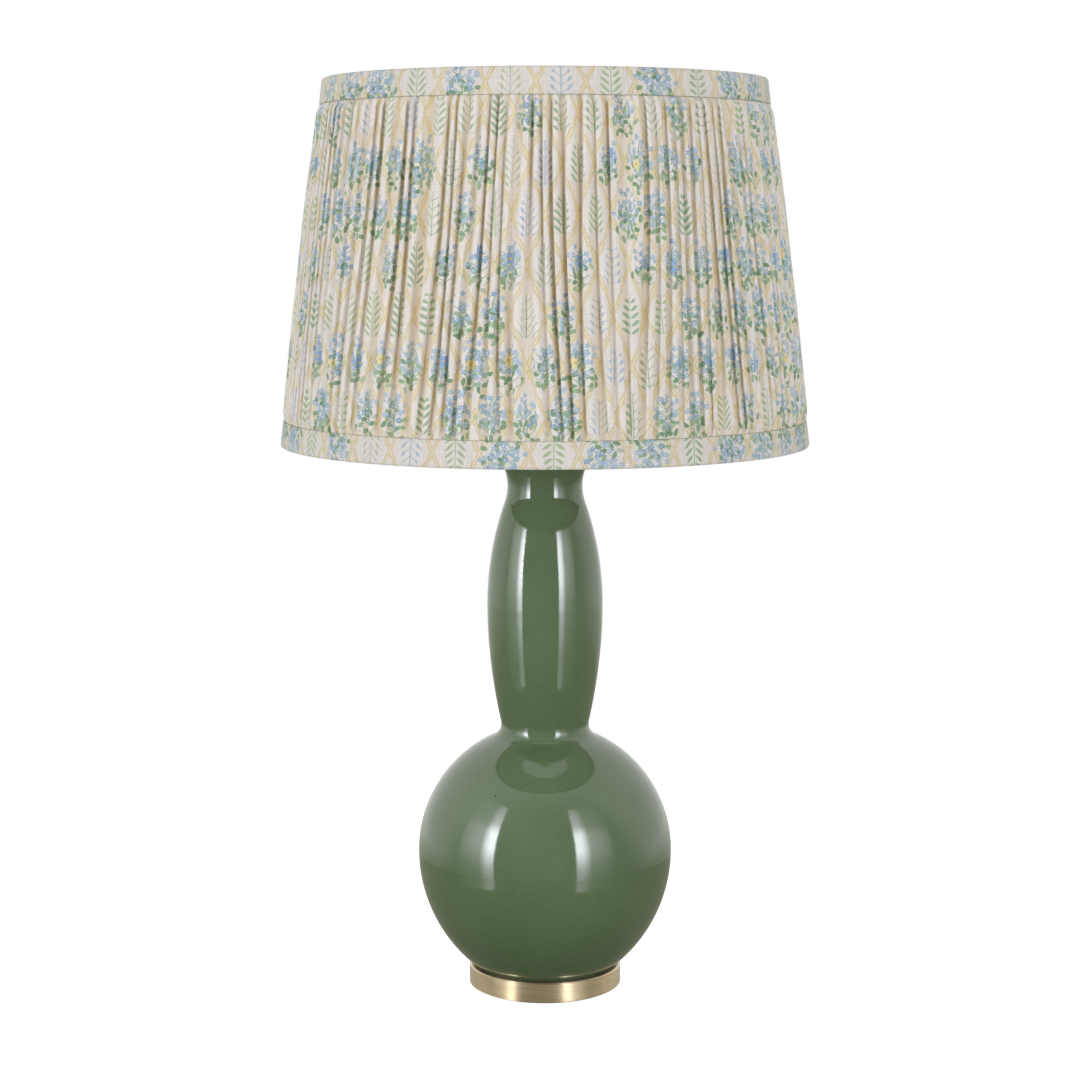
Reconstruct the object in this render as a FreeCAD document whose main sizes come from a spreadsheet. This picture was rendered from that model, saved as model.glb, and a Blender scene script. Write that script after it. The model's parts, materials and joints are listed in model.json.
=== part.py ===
import FreeCAD, Part
import math
import os
import re
import Sketcher

# A double gourd table lamp: a glazed ceramic body on a round brass plinth, clamped on a threaded
# rod that also carries the harp saddle and the bulb socket, under a gathered empire shade.
# Millimetres. Z is up, and the origin is the middle of the felt that the lamp stands on.

SIZES = {
    # felt and closing plate under the foot
    "pad_thickness": 1.5,
    "plate_thickness": 1.0,
    "plate_gap": 0.2,
    # brass plinth, an upturned cup
    "plinth_lift": 1.0,
    "plinth_radius": 51.5,
    "plinth_height": 13.0,
    "plinth_wall": 1.5,
    "plinth_bevel": 0.8,
    # rubber bush where the cord goes in
    "bush_bore": 2.9,
    "bush_wall": 0.6,
    "bush_fit": 0.05,
    "bush_head": 1.2,
    "bush_flange": 0.7,
    "hole_start": 1.2,
    # threaded rod, its washer and its nuts
    "rod_radius": 5.0,
    "rod_bore": 3.5,
    "rod_gap": 0.3,
    "rod_tail": 0.4,
    "thread_fit": 0.05,
    "washer_radius": 11.0,
    "washer_thickness": 0.8,
    "nut_flats": 14.0,
    "foot_nut_height": 2.5,
    "saddle_nut_height": 3.0,
    # ceramic body: ball, waist, bulge, neck and lip. The shares place the bulge and the neck on
    # the way from the middle of the ball to the lip.
    "foot_gasket_thickness": 0.8,
    "foot_gasket_width": 5.0,
    "gasket_inset": 1.0,
    "vase_wall": 5.0,
    "vase_floor": 6.0,
    "vase_hole": 7.0,
    "foot_radius": 48.6,
    "ball_radius": 85.7,
    "ball_rise": 78.0,
    "waist_radius": 29.6,
    "waist_curve": 9.7,
    "bulge_radius": 38.8,
    "bulge_share": 0.6439,
    "neck_radius": 25.1,
    "neck_share": 0.9481,
    "lip_curve": 33.0,
    "vase_height": 340.0,
    # brass cap over the ceramic lip, and the tube above it
    "cap_gasket_thickness": 0.8,
    "cap_overhang": 1.0,
    "cap_edge": 1.5,
    "cap_height": 9.2,
    "cap_wall": 1.2,
    "cap_rim": 2.5,
    "cap_hub": 10.0,
    "cap_step": 1.0,
    "cap_curve": 28.0,
    "neck_tube_radius": 8.0,
    "neck_tube_wall": 1.4,
    "neck_tube_length": 12.0,
    # harp saddle, harp and locking sleeves
    "saddle_width": 12.0,
    "saddle_thickness": 1.5,
    "saddle_reach": 28.0,
    "saddle_end": 4.0,
    "post_height": 14.0,
    "post_wall": 0.95,
    "harp_wire": 1.6,
    "harp_fit": 0.05,
    "harp_leg": 32.0,
    "harp_sweep": 120.0,
    "harp_half_width": 57.0,
    "harp_corner": 45.0,
    "harp_height": 207.0,
    "sleeve_length": 14.0,
    "sleeve_wall": 1.0,
    "sleeve_fit": 0.06,
    "sleeve_gap": 0.2,
    # stud on top of the harp
    "stud_block_radius": 5.5,
    "stud_block_half": 3.0,
    "stud_radius": 3.15,
    "stud_thread": 9.4,
    # bulb socket, with heights above the saddle nut
    "collar_radius": 7.2,
    "collar_height": 6.0,
    "socket_cap_shoulder": 15.0,
    "socket_cap_height": 22.0,
    "socket_cap_curve": 12.0,
    "socket_cap_wall": 0.8,
    "shell_radius": 17.0,
    "shell_wall": 0.5,
    "shell_bottom": 17.0,
    "shell_top": 68.0,
    "shell_bead": 1.6,
    "shell_bead_curve": 0.85,
    "socket_fit": 0.1,
    "liner_sleeve_wall": 0.5,
    "liner_sleeve_inset": 1.5,
    "core_bottom": 16.0,
    "core_top": 34.0,
    "core_flat": 12.2,
    "core_flat_top": 29.0,
    "terminal_height": 22.0,
    "terminal_head_radius": 3.2,
    "terminal_head": 1.8,
    "terminal_shank_radius": 1.5,
    "terminal_shank": 5.0,
    "terminal_web": 6.0,
    "terminal_fit": 0.05,
    "screw_shell_radius": 13.3,
    "screw_shell_wall": 0.4,
    "screw_shell_height": 26.0,
    "screw_shell_eye": 7.0,
    "contact_leaf": 0.4,
    "contact_rise": 2.7,
    "contact_width": 4.0,
    "contact_foot": 6.0,
    "contact_foot_length": 1.8,
    "contact_crown": 1.6,
    # turn switch through the side of the socket
    "switch_height": 25.0,
    "shaft_radius": 1.9,
    "shaft_start": 3.0,
    "shaft_fit": 0.05,
    "shaft_window": 3.0,
    "knob_gap": 1.6,
    "knob_radius": 5.5,
    "knob_length": 12.0,
    "knob_round": 1.2,
    "knob_grip": 9.0,
    "flute_radius": 0.8,
    "flute_stand": 0.25,
    "flute_count": 12,
    # bulb, with heights above its tip
    "bulb_gap": 0.3,
    "tip_radius": 4.6,
    "tip_flat": 3.0,
    "tip_height": 1.6,
    "tip_edge": 1.1,
    "insulator_radius": 9.6,
    "insulator_top": 4.6,
    "bulb_cap_wall": 0.5,
    "rib_root": 12.15,
    "rib_height": 1.0,
    "rib_pitch": 3.6,
    "rib_count": 4,
    "rib_start": 6.2,
    "bulb_cap_collar": 2.0,
    "bulb_cap_height": 27.0,
    "bulb_neck": 13.1,
    "bulb_throat": 40.0,
    "bulb_radius": 30.0,
    "bulb_length": 106.0,
    "glass_wall": 1.0,
    # seat washer, spider and finial
    "seat_gap": 0.05,
    "seat_radius": 7.0,
    "seat_thickness": 1.0,
    "stud_gap": 0.15,
    "hub_radius": 9.0,
    "hub_thickness": 2.0,
    "arm_wire": 1.5,
    "arm_weld": 1.0,
    "arm_count": 3,
    "arm_flat": 118.0,
    "arm_rise": 14.0,
    "arm_bend": 12.0,
    "arm_slit": 0.4,
    "arm_slit_depth": 3.0,
    "insert_wall": 1.8,
    "insert_flange": 1.6,
    "insert_flange_height": 1.2,
    "insert_height": 10.0,
    "insert_fit": 0.03,
    "finial_foot": 7.5,
    "finial_foot_height": 2.2,
    "finial_waist": 6.4,
    "finial_neck_curve": 2.6,
    "finial_ball": 7.6,
    "finial_height": 17.0,
    # shade: radii of the stiff lining at its two ends, and what lies outside it
    "shade_height": 238.0,
    "liner_top_radius": 142.9,
    "liner_bottom_radius": 172.9,
    "liner_thickness": 0.6,
    "ring_wire": 1.5,
    "ring_gap": 0.05,
    "ring_drop": 0.8,
    "layer_gap": 0.1,
    "tucked_cloth": 1.3,
    "trim_thickness": 0.6,
    "trim_height": 17.0,
    "trim_leaf": 9.0,
    "trim_round": 1.5,
    # gathered cloth between the two bands
    "fold_count": 132,
    "fold_depth": 2.6,
    "tucked_fold_depth": 0.7,
    "fold_start": 3.0,
    "fold_puff": 3.0,
    "fold_wander": 0.16,
    "wander_step": 2.4,
    "drift_step": 1.1,
    "drift_start": 2.0,
    "fullness_step": 1.9,
    "fullness_spread": 0.2,
    "cloth_thickness": 0.6,
}

# Sizes that follow from the ones above, each named once and used by every piece that meets it.
LEVELS = {
    "plate_top": "pad_thickness + plate_thickness",
    "plinth_top": "plinth_lift + plinth_height",
    "plinth_ceiling": "plinth_top - plinth_wall",
    "plinth_inside": "plinth_radius - plinth_wall",
    "inlet_level": "(plate_top + plinth_ceiling) / 2",
    "bush_radius": "bush_bore + bush_wall",
    "rod_hole": "rod_radius + rod_gap",
    "thread_hole": "rod_radius + thread_fit",
    "foot_washer_bottom": "plinth_ceiling - washer_thickness",
    "foot_nut_bottom": "foot_washer_bottom - foot_nut_height",
    "rod_bottom": "foot_nut_bottom - rod_tail",
    "vase_bottom": "plinth_top + foot_gasket_thickness",
    "vase_top": "vase_bottom + vase_height",
    "base_curve": "((ball_radius - foot_radius)^2 + ball_rise^2) / (2 * (ball_radius - foot_radius))",
    "ball_level": "vase_bottom + ball_rise",
    "bulge_level": "ball_level + (vase_height - ball_rise) * bulge_share",
    "neck_level": "ball_level + (vase_height - ball_rise) * neck_share",
    "waist_axis": "waist_radius + waist_curve",
    "waist_level": "ball_level + sqrt((ball_radius + waist_curve)^2 - waist_axis^2)",
    "stem_curve": "((waist_axis - bulge_radius)^2 + (bulge_level - waist_level)^2 - waist_curve^2)"
                  " / (2 * (bulge_radius - waist_radius))",
    "lip_axis": "neck_radius + lip_curve",
    "throat_curve": "((lip_axis - bulge_radius)^2 + (neck_level - bulge_level)^2 - lip_curve^2)"
                    " / (2 * (bulge_radius - neck_radius))",
    "lip_outside": "lip_axis - sqrt(lip_curve^2 - (vase_top - neck_level)^2)",
    "lip_inside": "lip_axis - sqrt((lip_curve + vase_wall)^2 - (vase_top - neck_level)^2)",
    "cap_bottom": "vase_top + cap_gasket_thickness",
    "cap_top": "cap_bottom + cap_height",
    "cap_radius": "lip_outside + cap_overhang",
    "saddle_bottom": "cap_top + neck_tube_length",
    "saddle_top": "saddle_bottom + saddle_thickness",
    "post_bore": "harp_wire + harp_fit",
    "post_radius": "post_bore + post_wall",
    "socket_level": "saddle_top + saddle_nut_height",
    "harp_top": "saddle_top + harp_height",
    "harp_leg_top": "saddle_top + harp_leg",
    "harp_flare": "harp_half_width - saddle_reach",
    "harp_flare_height": "sqrt(4 * harp_sweep * harp_flare - harp_flare^2)",
    "seat_level": "harp_top + stud_block_half",
    "hub_bottom": "seat_level + seat_thickness + 2 * seat_gap",
    "hub_top": "hub_bottom + hub_thickness",
    "arm_level": "hub_bottom + hub_thickness / 2",
    "stud_top": "hub_top + stud_thread",
    "finial_level": "hub_top + seat_gap",
    "finial_waist_height": "finial_height - finial_ball - sqrt(finial_ball^2 - finial_waist^2)",
    "top_ring_level": "arm_level + arm_rise + ring_drop",
    "shade_top": "top_ring_level + ring_wire + layer_gap + trim_thickness",
    "shade_bottom": "shade_top - shade_height",
    "bottom_ring_level": "shade_bottom + ring_wire + layer_gap + trim_thickness",
    "shade_slope": "(liner_bottom_radius - liner_top_radius) / shade_height",
    "ring_inset": "liner_thickness + ring_gap + ring_wire",
    "top_ring_radius": "liner_top_radius + shade_slope * (shade_top - top_ring_level) - ring_inset",
    "bottom_ring_radius": "liner_bottom_radius - shade_slope * (bottom_ring_level - shade_bottom)"
                          " - ring_inset",
    "trim_offset": "2 * layer_gap + tucked_cloth + trim_thickness",
    "shade_margin": "trim_thickness + layer_gap",
    "ring_margin": "shade_margin + ring_wire",
    "arm_run": "top_ring_radius - ring_wire / 2 - arm_flat",
    "arm_length": "sqrt(arm_run^2 + arm_rise^2)",
    "arm_tangent": "arm_bend * (arm_length - arm_run) / arm_rise",
    "core_radius": "shell_radius - shell_wall - liner_sleeve_wall - 2 * socket_fit",
    "core_level": "socket_level + core_top",
    "contact_top": "core_level + contact_rise",
    "bulb_level": "contact_top + bulb_gap",
    "switch_level": "socket_level + switch_height",
    "knob_start": "shell_radius + knob_gap",
    "rib_curve": "(rib_pitch^2 / 4 + rib_height^2) / (2 * rib_height)",
    "glass_centre": "bulb_length - bulb_radius",
    "throat_axis": "bulb_neck + bulb_throat",
    "throat_drop": "sqrt((bulb_radius + bulb_throat)^2 - throat_axis^2)",
}

# Heights of the three full stations of the gathered cloth, as shares of the way between the bands.
FULL_STATIONS = (0.2, 0.5, 0.8)

doc = FreeCAD.newDocument("DoubleGourdLamp")
sheet = doc.addObject("Spreadsheet::Sheet", "Sizes")
for row, (name, value) in enumerate(SIZES.items(), start=1):
    sheet.set(f"A{row}", str(value))
    sheet.setAlias(f"A{row}", name)
doc.recompute()


def bound(text):
    """The same expression with each size tied to its cell and each level to its own value."""
    def tie(match):
        name = match.group(0)
        if name in SIZES:
            return "Sizes." + name
        if name in LEVELS:
            return "Levels." + name
        return name
    return re.sub(r"[a-z_]\w*", tie, text)


levels = doc.addObject("App::VarSet", "Levels")
for name, text in LEVELS.items():
    levels.addProperty("App::PropertyFloat", name)
    levels.setExpression(name, bound(text))
doc.recompute()


def number(text):
    """What an expression comes to with the present sizes."""
    return float(sheet.evalExpression(bound(text)))


def bind(item, **values):
    """Tie properties to expressions, with a double underline for the point in a property's path."""
    for name, text in values.items():
        item.setExpression(name.replace("__", "."), bound(text))


def make(kind, name, **values):
    """A primitive or a boolean whose numbers are bound to the sizes."""
    item = doc.addObject(kind, name)
    item.Label = name
    bind(item, **values)
    return item


def cut(name, base, *tools):
    """The base with each tool taken out of it."""
    for index, tool in enumerate(tools):
        step = doc.addObject("Part::Cut", name if tool is tools[-1] else f"{name}_step{index}")
        step.Base = base
        step.Tool = tool
        base = step
    base.Label = name
    return base


def origin_plane(body, role):
    """One of the body's own planes or axes."""
    return next(item for item in body.Origin.OriginFeatures if item.Role == role)


def new_body(name):
    """An empty body with the piece's name."""
    body = doc.addObject("PartDesign::Body", name)
    body.Label = name
    return body


def new_sketch(body, name, role, offset="0"):
    """A sketch on one of the body's origin planes, moved along that plane's normal."""
    sketch = body.newObject("Sketcher::SketchObject", name)
    sketch.AttachmentSupport = [(origin_plane(body, role), "")]
    sketch.MapMode = "FlatFace"
    bind(sketch, AttachmentOffset__Base__z=offset)
    return sketch


def arc_between(start, end, radius):
    """The shorter arc from start to end, bowed to the right of the way for a positive radius."""
    side = 1 if radius > 0 else -1
    middle = (start + end) / 2
    way = end - start
    rise = math.sqrt(radius ** 2 - (way.Length / 2) ** 2)
    left = FreeCAD.Vector(-way.y, way.x, 0).normalize()
    centre = middle + left * rise * side
    first, last = (start, end) if side > 0 else (end, start)
    circle = Part.Circle(centre, FreeCAD.Vector(0, 0, 1), abs(radius))
    return Part.ArcOfCircle(circle, circle.parameter(first), circle.parameter(last))


def draw(sketch, corners, closed=True):
    """Draw an outline, with every corner and every arc's radius bound to the sizes.

    A corner is (across, up), or (across, up, side, radius) where the edge that ends there is an
    arc. The side is 1 for an arc that bows to the right of the way along it, and -1 to the left."""
    points = [FreeCAD.Vector(number(corner[0]), number(corner[1]), 0) for corner in corners]
    if closed:
        order = [(index - 1) % len(corners) for index in range(len(corners))]
    else:
        order = [None] + list(range(len(corners) - 1))
    edges = {}
    for index, before in enumerate(order):
        if before is None:
            continue
        if len(corners[index]) == 2:
            edge = sketch.addGeometry(Part.LineSegment(points[before], points[index]))
            edges[index] = (edge, 1, 2)
            continue
        side, radius = corners[index][2:]
        arc = arc_between(points[before], points[index], side * number(radius))
        edge = sketch.addGeometry(arc)
        edges[index] = (edge, 1, 2) if side > 0 else (edge, 2, 1)
        datum = sketch.addConstraint(Sketcher.Constraint("Radius", edge, number(radius)))
        sketch.setExpression(f"Constraints[{datum}]", bound(radius))
    for index, before in enumerate(order):
        if before in edges and index in edges:
            earlier, later = edges[before], edges[index]
            meet = Sketcher.Constraint("Coincident", earlier[0], earlier[2], later[0], later[1])
            sketch.addConstraint(meet)
    for index, corner in enumerate(corners):
        if index in edges:
            edge, end = edges[index][0], edges[index][2]
        else:
            edge, end = edges[index + 1][0], edges[index + 1][1]
        for kind, text in (("DistanceX", corner[0]), ("DistanceY", corner[1])):
            size = Sketcher.Constraint(kind, -1, 1, edge, end, number(text))
            datum = sketch.addConstraint(size)
            sketch.setExpression(f"Constraints[{datum}]", bound(text))


def draw_circle(sketch, across, up, radius):
    """Draw a circle whose centre and radius are bound to the sizes.

    The sketcher counts a circle's centre as its third point."""
    centre = FreeCAD.Vector(number(across), number(up), 0)
    circle = Part.Circle(centre, FreeCAD.Vector(0, 0, 1), number(radius))
    edge = sketch.addGeometry(circle)
    for kind, text in (("DistanceX", across), ("DistanceY", up)):
        size = Sketcher.Constraint(kind, -1, 1, edge, 3, number(text))
        datum = sketch.addConstraint(size)
        sketch.setExpression(f"Constraints[{datum}]", bound(text))
    datum = sketch.addConstraint(Sketcher.Constraint("Radius", edge, number(radius)))
    sketch.setExpression(f"Constraints[{datum}]", bound(radius))


def turned(name, corners, level="0"):
    """A piece turned about the lamp's axis, from its outline in radius and height."""
    body = new_body(name)
    bind(body, Placement__Base__z=level)
    sketch = new_sketch(body, name + "_outline", "XZ_Plane")
    draw(sketch, corners)
    spin = body.newObject("PartDesign::Revolution", name + "_turning")
    spin.Profile = sketch
    spin.ReferenceAxis = (sketch, ["V_Axis"])
    spin.Angle = 360
    return body


def ring(name, inside, outside, bottom, top):
    """A plain turned ring."""
    return turned(name, [(inside, bottom), (outside, bottom), (outside, top), (inside, top)])


def pocket_hole(body, name, role, up, radius, offset="0", depth=None, reverse=False):
    """A round hole cut square to one of the body's upright planes, through all or to a depth."""
    sketch = new_sketch(body, name + "_circle", role, offset)
    draw_circle(sketch, "0", up, radius)
    hole = body.newObject("PartDesign::Pocket", name)
    hole.Profile = sketch
    hole.Reversed = reverse
    if depth is None:
        hole.Type = "ThroughAll"
    else:
        hole.Type = "Length"
        bind(hole, Length=depth)
    return hole


def tip(body, feature):
    """Make the feature the one that the body's shape is read from."""
    body.Tip = feature
    doc.recompute()
    return body


# Foot: felt, plate, plinth and the bush for the cord

def felt_pad():
    """A felt disc, which is what the lamp stands on."""
    return make("Part::Cylinder", "felt_pad", Radius="plinth_inside - plate_gap",
                Height="pad_thickness")


def bottom_plate():
    """A steel disc that closes the plinth and carries the felt."""
    return make("Part::Cylinder", "bottom_plate", Radius="plinth_inside - plate_gap",
                Height="plate_thickness", Placement__Base__z="pad_thickness")


def base_plinth():
    """A shallow brass cup, open side down, with a bevelled top edge and a hole at the back."""
    body = turned("base_plinth", [
        ("rod_hole", "plinth_ceiling"),
        ("plinth_inside", "plinth_ceiling"),
        ("plinth_inside", "plinth_lift"),
        ("plinth_radius", "plinth_lift"),
        ("plinth_radius", "plinth_top - plinth_bevel"),
        ("plinth_radius - plinth_bevel", "plinth_top"),
        ("rod_hole", "plinth_top"),
    ])
    start = "hole_start - plinth_inside"
    hole = pocket_hole(body, "cord_hole", "XZ_Plane", "inlet_level", "bush_radius + bush_fit", start)
    return tip(body, hole)


def cord_bush():
    """A rubber bush, pushed into the plinth's back wall from outside."""
    body = turned("cord_bush", [
        ("bush_bore", "plinth_inside"),
        ("bush_radius", "plinth_inside"),
        ("bush_radius", "plinth_radius"),
        ("bush_radius + bush_flange", "plinth_radius"),
        ("bush_radius + bush_flange", "plinth_radius + bush_head / 2"),
        ("bush_radius", "plinth_radius + bush_head"),
        ("bush_bore", "plinth_radius + bush_head"),
    ], "inlet_level")
    body.Placement = FreeCAD.Placement(
        FreeCAD.Vector(0, 0, number("inlet_level")), FreeCAD.Rotation(FreeCAD.Vector(1, 0, 0), -90))
    return body


def foot_washer():
    """A steel washer under the plinth's top."""
    return ring("rod_washer", "rod_hole", "washer_radius", "foot_washer_bottom", "plinth_ceiling")


def hex_nut(name, bottom, height):
    """A thin hexagon nut on the rod."""
    blank = make("Part::Prism", name + "_blank", Circumradius="nut_flats / sqrt(3)", Height=height,
                 Placement__Base__z=bottom)
    bore = make("Part::Cylinder", name + "_bore", Radius="thread_hole", Height=height,
                Placement__Base__z=bottom)
    return cut(name, blank, bore)


def lamp_rod():
    """The hollow threaded rod, from the nut in the foot to the collar of the socket."""
    return ring("lamp_rod", "rod_bore", "rod_radius", "rod_bottom", "socket_level + collar_height")


# Ceramic body

def gourd(inset):
    """Corners of the gourd's wall from its foot arc to its lip arc, moved inwards by the inset.

    Each curve is an arc that is tangent to the next, so a corner lies on the line through the two
    centres that it joins."""
    ball = f"(ball_radius - {inset}) / (ball_radius + waist_curve)"
    stem = f"(stem_curve - {inset}) / (stem_curve + waist_curve)"
    throat = f"(throat_curve - {inset}) / (throat_curve + lip_curve)"
    return [
        (f"ball_radius - {inset}", "ball_level", 1, f"base_curve - {inset}"),
        (f"waist_axis * {ball}", f"ball_level + (waist_level - ball_level) * {ball}",
         1, f"ball_radius - {inset}"),
        (f"bulge_radius - stem_curve + (waist_axis - bulge_radius + stem_curve) * {stem}",
         f"bulge_level + (waist_level - bulge_level) * {stem}", -1, f"waist_curve + {inset}"),
        (f"bulge_radius - {inset}", "bulge_level", 1, f"stem_curve - {inset}"),
        (f"bulge_radius - throat_curve + (lip_axis - bulge_radius + throat_curve) * {throat}",
         f"bulge_level + (neck_level - bulge_level) * {throat}", 1, f"throat_curve - {inset}"),
        (f"lip_axis - sqrt((lip_curve + {inset})^2 - (vase_top - neck_level)^2)", "vase_top",
         -1, f"lip_curve + {inset}"),
    ]


def ceramic_body():
    """The thrown body: one wall all the way up, a thicker floor, and a hole for the rod."""
    body = turned("ceramic_body", [
        ("vase_hole", "vase_bottom"),
        ("foot_radius", "vase_bottom"),
        *gourd("0"),
        ("vase_hole", "vase_top"),
    ])
    floor_radius = ("ball_radius - base_curve + sqrt((base_curve - vase_wall)^2"
                    " - (ball_rise - vase_floor)^2)")
    inside = new_sketch(body, "ceramic_inside", "XZ_Plane")
    draw(inside, [
        ("0", "vase_bottom + vase_floor"),
        (floor_radius, "vase_bottom + vase_floor"),
        *gourd("vase_wall"),
        ("0", "vase_top"),
    ])
    hollow = body.newObject("PartDesign::Groove", "ceramic_hollow")
    hollow.Profile = inside
    hollow.ReferenceAxis = (inside, ["V_Axis"])
    hollow.Angle = 360
    return tip(body, hollow)


def foot_gasket():
    """A rubber ring between the plinth and the foot of the ceramic."""
    outside = "foot_radius - gasket_inset"
    return ring("foot_gasket", f"{outside} - foot_gasket_width", outside, "plinth_top", "vase_bottom")


def cap_gasket():
    """A rubber ring on the ceramic lip."""
    return ring("cap_gasket", "lip_inside + gasket_inset", "lip_outside - gasket_inset / 2",
                "vase_top", "cap_bottom")


# Brass above the neck

def vase_cap():
    """A domed brass cap that covers the mouth of the ceramic."""
    return turned("vase_cap", [
        ("cap_radius - cap_rim", "cap_bottom"),
        ("cap_radius", "cap_bottom"),
        ("cap_radius", "cap_bottom + cap_edge"),
        ("cap_hub", "cap_top - cap_step", 1, "cap_curve"),
        ("cap_hub", "cap_top"),
        ("rod_hole", "cap_top"),
        ("rod_hole", "cap_top - cap_wall"),
        ("cap_hub - cap_wall", "cap_top - cap_wall"),
        ("cap_hub - cap_wall", "cap_top - cap_step - cap_wall"),
        ("cap_radius - cap_rim", "cap_bottom + cap_edge / 2", -1, "cap_curve"),
    ])


def neck_tube():
    """A short brass tube that lifts the saddle off the cap."""
    return ring("neck_tube", "neck_tube_radius - neck_tube_wall", "neck_tube_radius",
                "cap_top", "saddle_bottom")


def harp_saddle():
    """A steel strip with a hole for the rod and a tubular post at each end."""
    strip = make("Part::Box", "saddle_strip", Length="saddle_width",
                 Width="2 * (saddle_reach + saddle_end)", Height="saddle_thickness",
                 Placement__Base__x="-saddle_width / 2",
                 Placement__Base__y="-saddle_reach - saddle_end",
                 Placement__Base__z="saddle_bottom")
    posts = []
    bores = []
    for side, sign in (("left", "-"), ("right", "")):
        posts.append(make("Part::Cylinder", "post_" + side, Radius="post_radius",
                          Height="saddle_thickness + post_height",
                          Placement__Base__y=sign + "saddle_reach",
                          Placement__Base__z="saddle_bottom"))
        bores.append(make("Part::Cylinder", "post_bore_" + side, Radius="post_bore",
                          Height="post_height", Placement__Base__y=sign + "saddle_reach",
                          Placement__Base__z="saddle_top"))
    rod = make("Part::Cylinder", "saddle_rod_hole", Radius="rod_hole", Height="saddle_thickness",
               Placement__Base__z="saddle_bottom")
    whole = make("Part::MultiFuse", "saddle_whole")
    whole.Shapes = [strip, *posts]
    return cut("harp_saddle", whole, rod, *bores)


def harp():
    """A steel wire bow. One half is swept from its foot in the post to the top, then mirrored."""
    body = new_body("harp")
    path = new_sketch(body, "harp_path", "YZ_Plane")
    draw(path, [
        ("saddle_reach", "saddle_top"),
        ("saddle_reach", "harp_leg_top"),
        ("saddle_reach + harp_flare / 2", "harp_leg_top + harp_flare_height / 2", -1, "harp_sweep"),
        ("harp_half_width", "harp_leg_top + harp_flare_height", 1, "harp_sweep"),
        ("harp_half_width", "harp_top - harp_corner"),
        ("harp_half_width - harp_corner", "harp_top", 1, "harp_corner"),
        ("0", "harp_top"),
    ], closed=False)
    section = new_sketch(body, "harp_section", "XY_Plane", "saddle_top")
    draw_circle(section, "0", "saddle_reach", "harp_wire")
    doc.recompute()
    half = body.newObject("PartDesign::AdditivePipe", "harp_half")
    half.Profile = section
    half.Spine = path
    doc.recompute()
    both = body.newObject("PartDesign::Mirrored", "harp_both")
    both.Originals = [half]
    both.MirrorPlane = (origin_plane(body, "XZ_Plane"), [""])
    return tip(body, both)


def harp_sleeve(side, sign):
    """A loose brass collar that locks one foot of the harp in its post."""
    inside = make("Part::Cylinder", f"sleeve_bore_{side}", Radius="post_radius + sleeve_fit",
                  Height="sleeve_length", Placement__Base__y=sign + "saddle_reach",
                  Placement__Base__z="saddle_top + sleeve_gap")
    outside = make("Part::Cylinder", f"sleeve_blank_{side}",
                   Radius="post_radius + sleeve_fit + sleeve_wall",
                   Height="sleeve_length", Placement__Base__y=sign + "saddle_reach",
                   Placement__Base__z="saddle_top + sleeve_gap")
    return cut(f"harp_sleeve_{side}", outside, inside)


def harp_stud():
    """A brass block with the harp's wire through it and a threaded stud on top."""
    body = turned("harp_stud", [
        ("0", "harp_top - stud_block_half"),
        ("stud_block_radius", "harp_top - stud_block_half"),
        ("stud_block_radius", "seat_level"),
        ("stud_radius", "seat_level"),
        ("stud_radius", "stud_top"),
        ("0", "stud_top"),
    ])
    hole = pocket_hole(body, "harp_hole", "XZ_Plane", "harp_top", "harp_wire + harp_fit")
    hole.Midplane = True
    return tip(body, hole)


# Bulb socket, with outlines in heights above the saddle nut

def socket_cap():
    """The brass cap that screws onto the rod and holds the shell."""
    outside = "shell_radius + socket_fit + socket_cap_wall"
    return turned("socket_cap", [
        ("thread_hole", "0"),
        ("collar_radius", "0"),
        ("collar_radius", "collar_height"),
        (outside, "socket_cap_shoulder", 1, "socket_cap_curve"),
        (outside, "socket_cap_height"),
        (f"{outside} - socket_cap_wall", "socket_cap_height"),
        (f"{outside} - socket_cap_wall", "socket_cap_shoulder"),
        ("collar_radius", "collar_height + socket_cap_wall", -1, "socket_cap_curve"),
        ("thread_hole", "collar_height + socket_cap_wall"),
    ], "socket_level")


def socket_shell():
    """The brass shell, with a beaded mouth and a hole for the switch shaft."""
    body = turned("socket_shell", [
        ("shell_radius - shell_wall", "shell_bottom"),
        ("shell_radius", "shell_bottom"),
        ("shell_radius", "shell_top - shell_bead"),
        ("shell_radius", "shell_top", 1, "shell_bead_curve"),
        ("shell_radius - shell_wall", "shell_top"),
    ], "socket_level")
    hole = pocket_hole(body, "shell_window", "YZ_Plane", "switch_height", "shaft_window",
                       reverse=True)
    return tip(body, hole)


def socket_sleeve():
    """The card sleeve that insulates the shell."""
    outside = "shell_radius - shell_wall - socket_fit"
    body = turned("socket_sleeve", [
        (f"{outside} - liner_sleeve_wall", "shell_bottom + liner_sleeve_inset"),
        (outside, "shell_bottom + liner_sleeve_inset"),
        (outside, "shell_top - liner_sleeve_inset"),
        (f"{outside} - liner_sleeve_wall", "shell_top - liner_sleeve_inset"),
    ], "socket_level")
    hole = pocket_hole(body, "sleeve_window", "YZ_Plane", "switch_height", "shaft_window",
                       reverse=True)
    return tip(body, hole)


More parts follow.
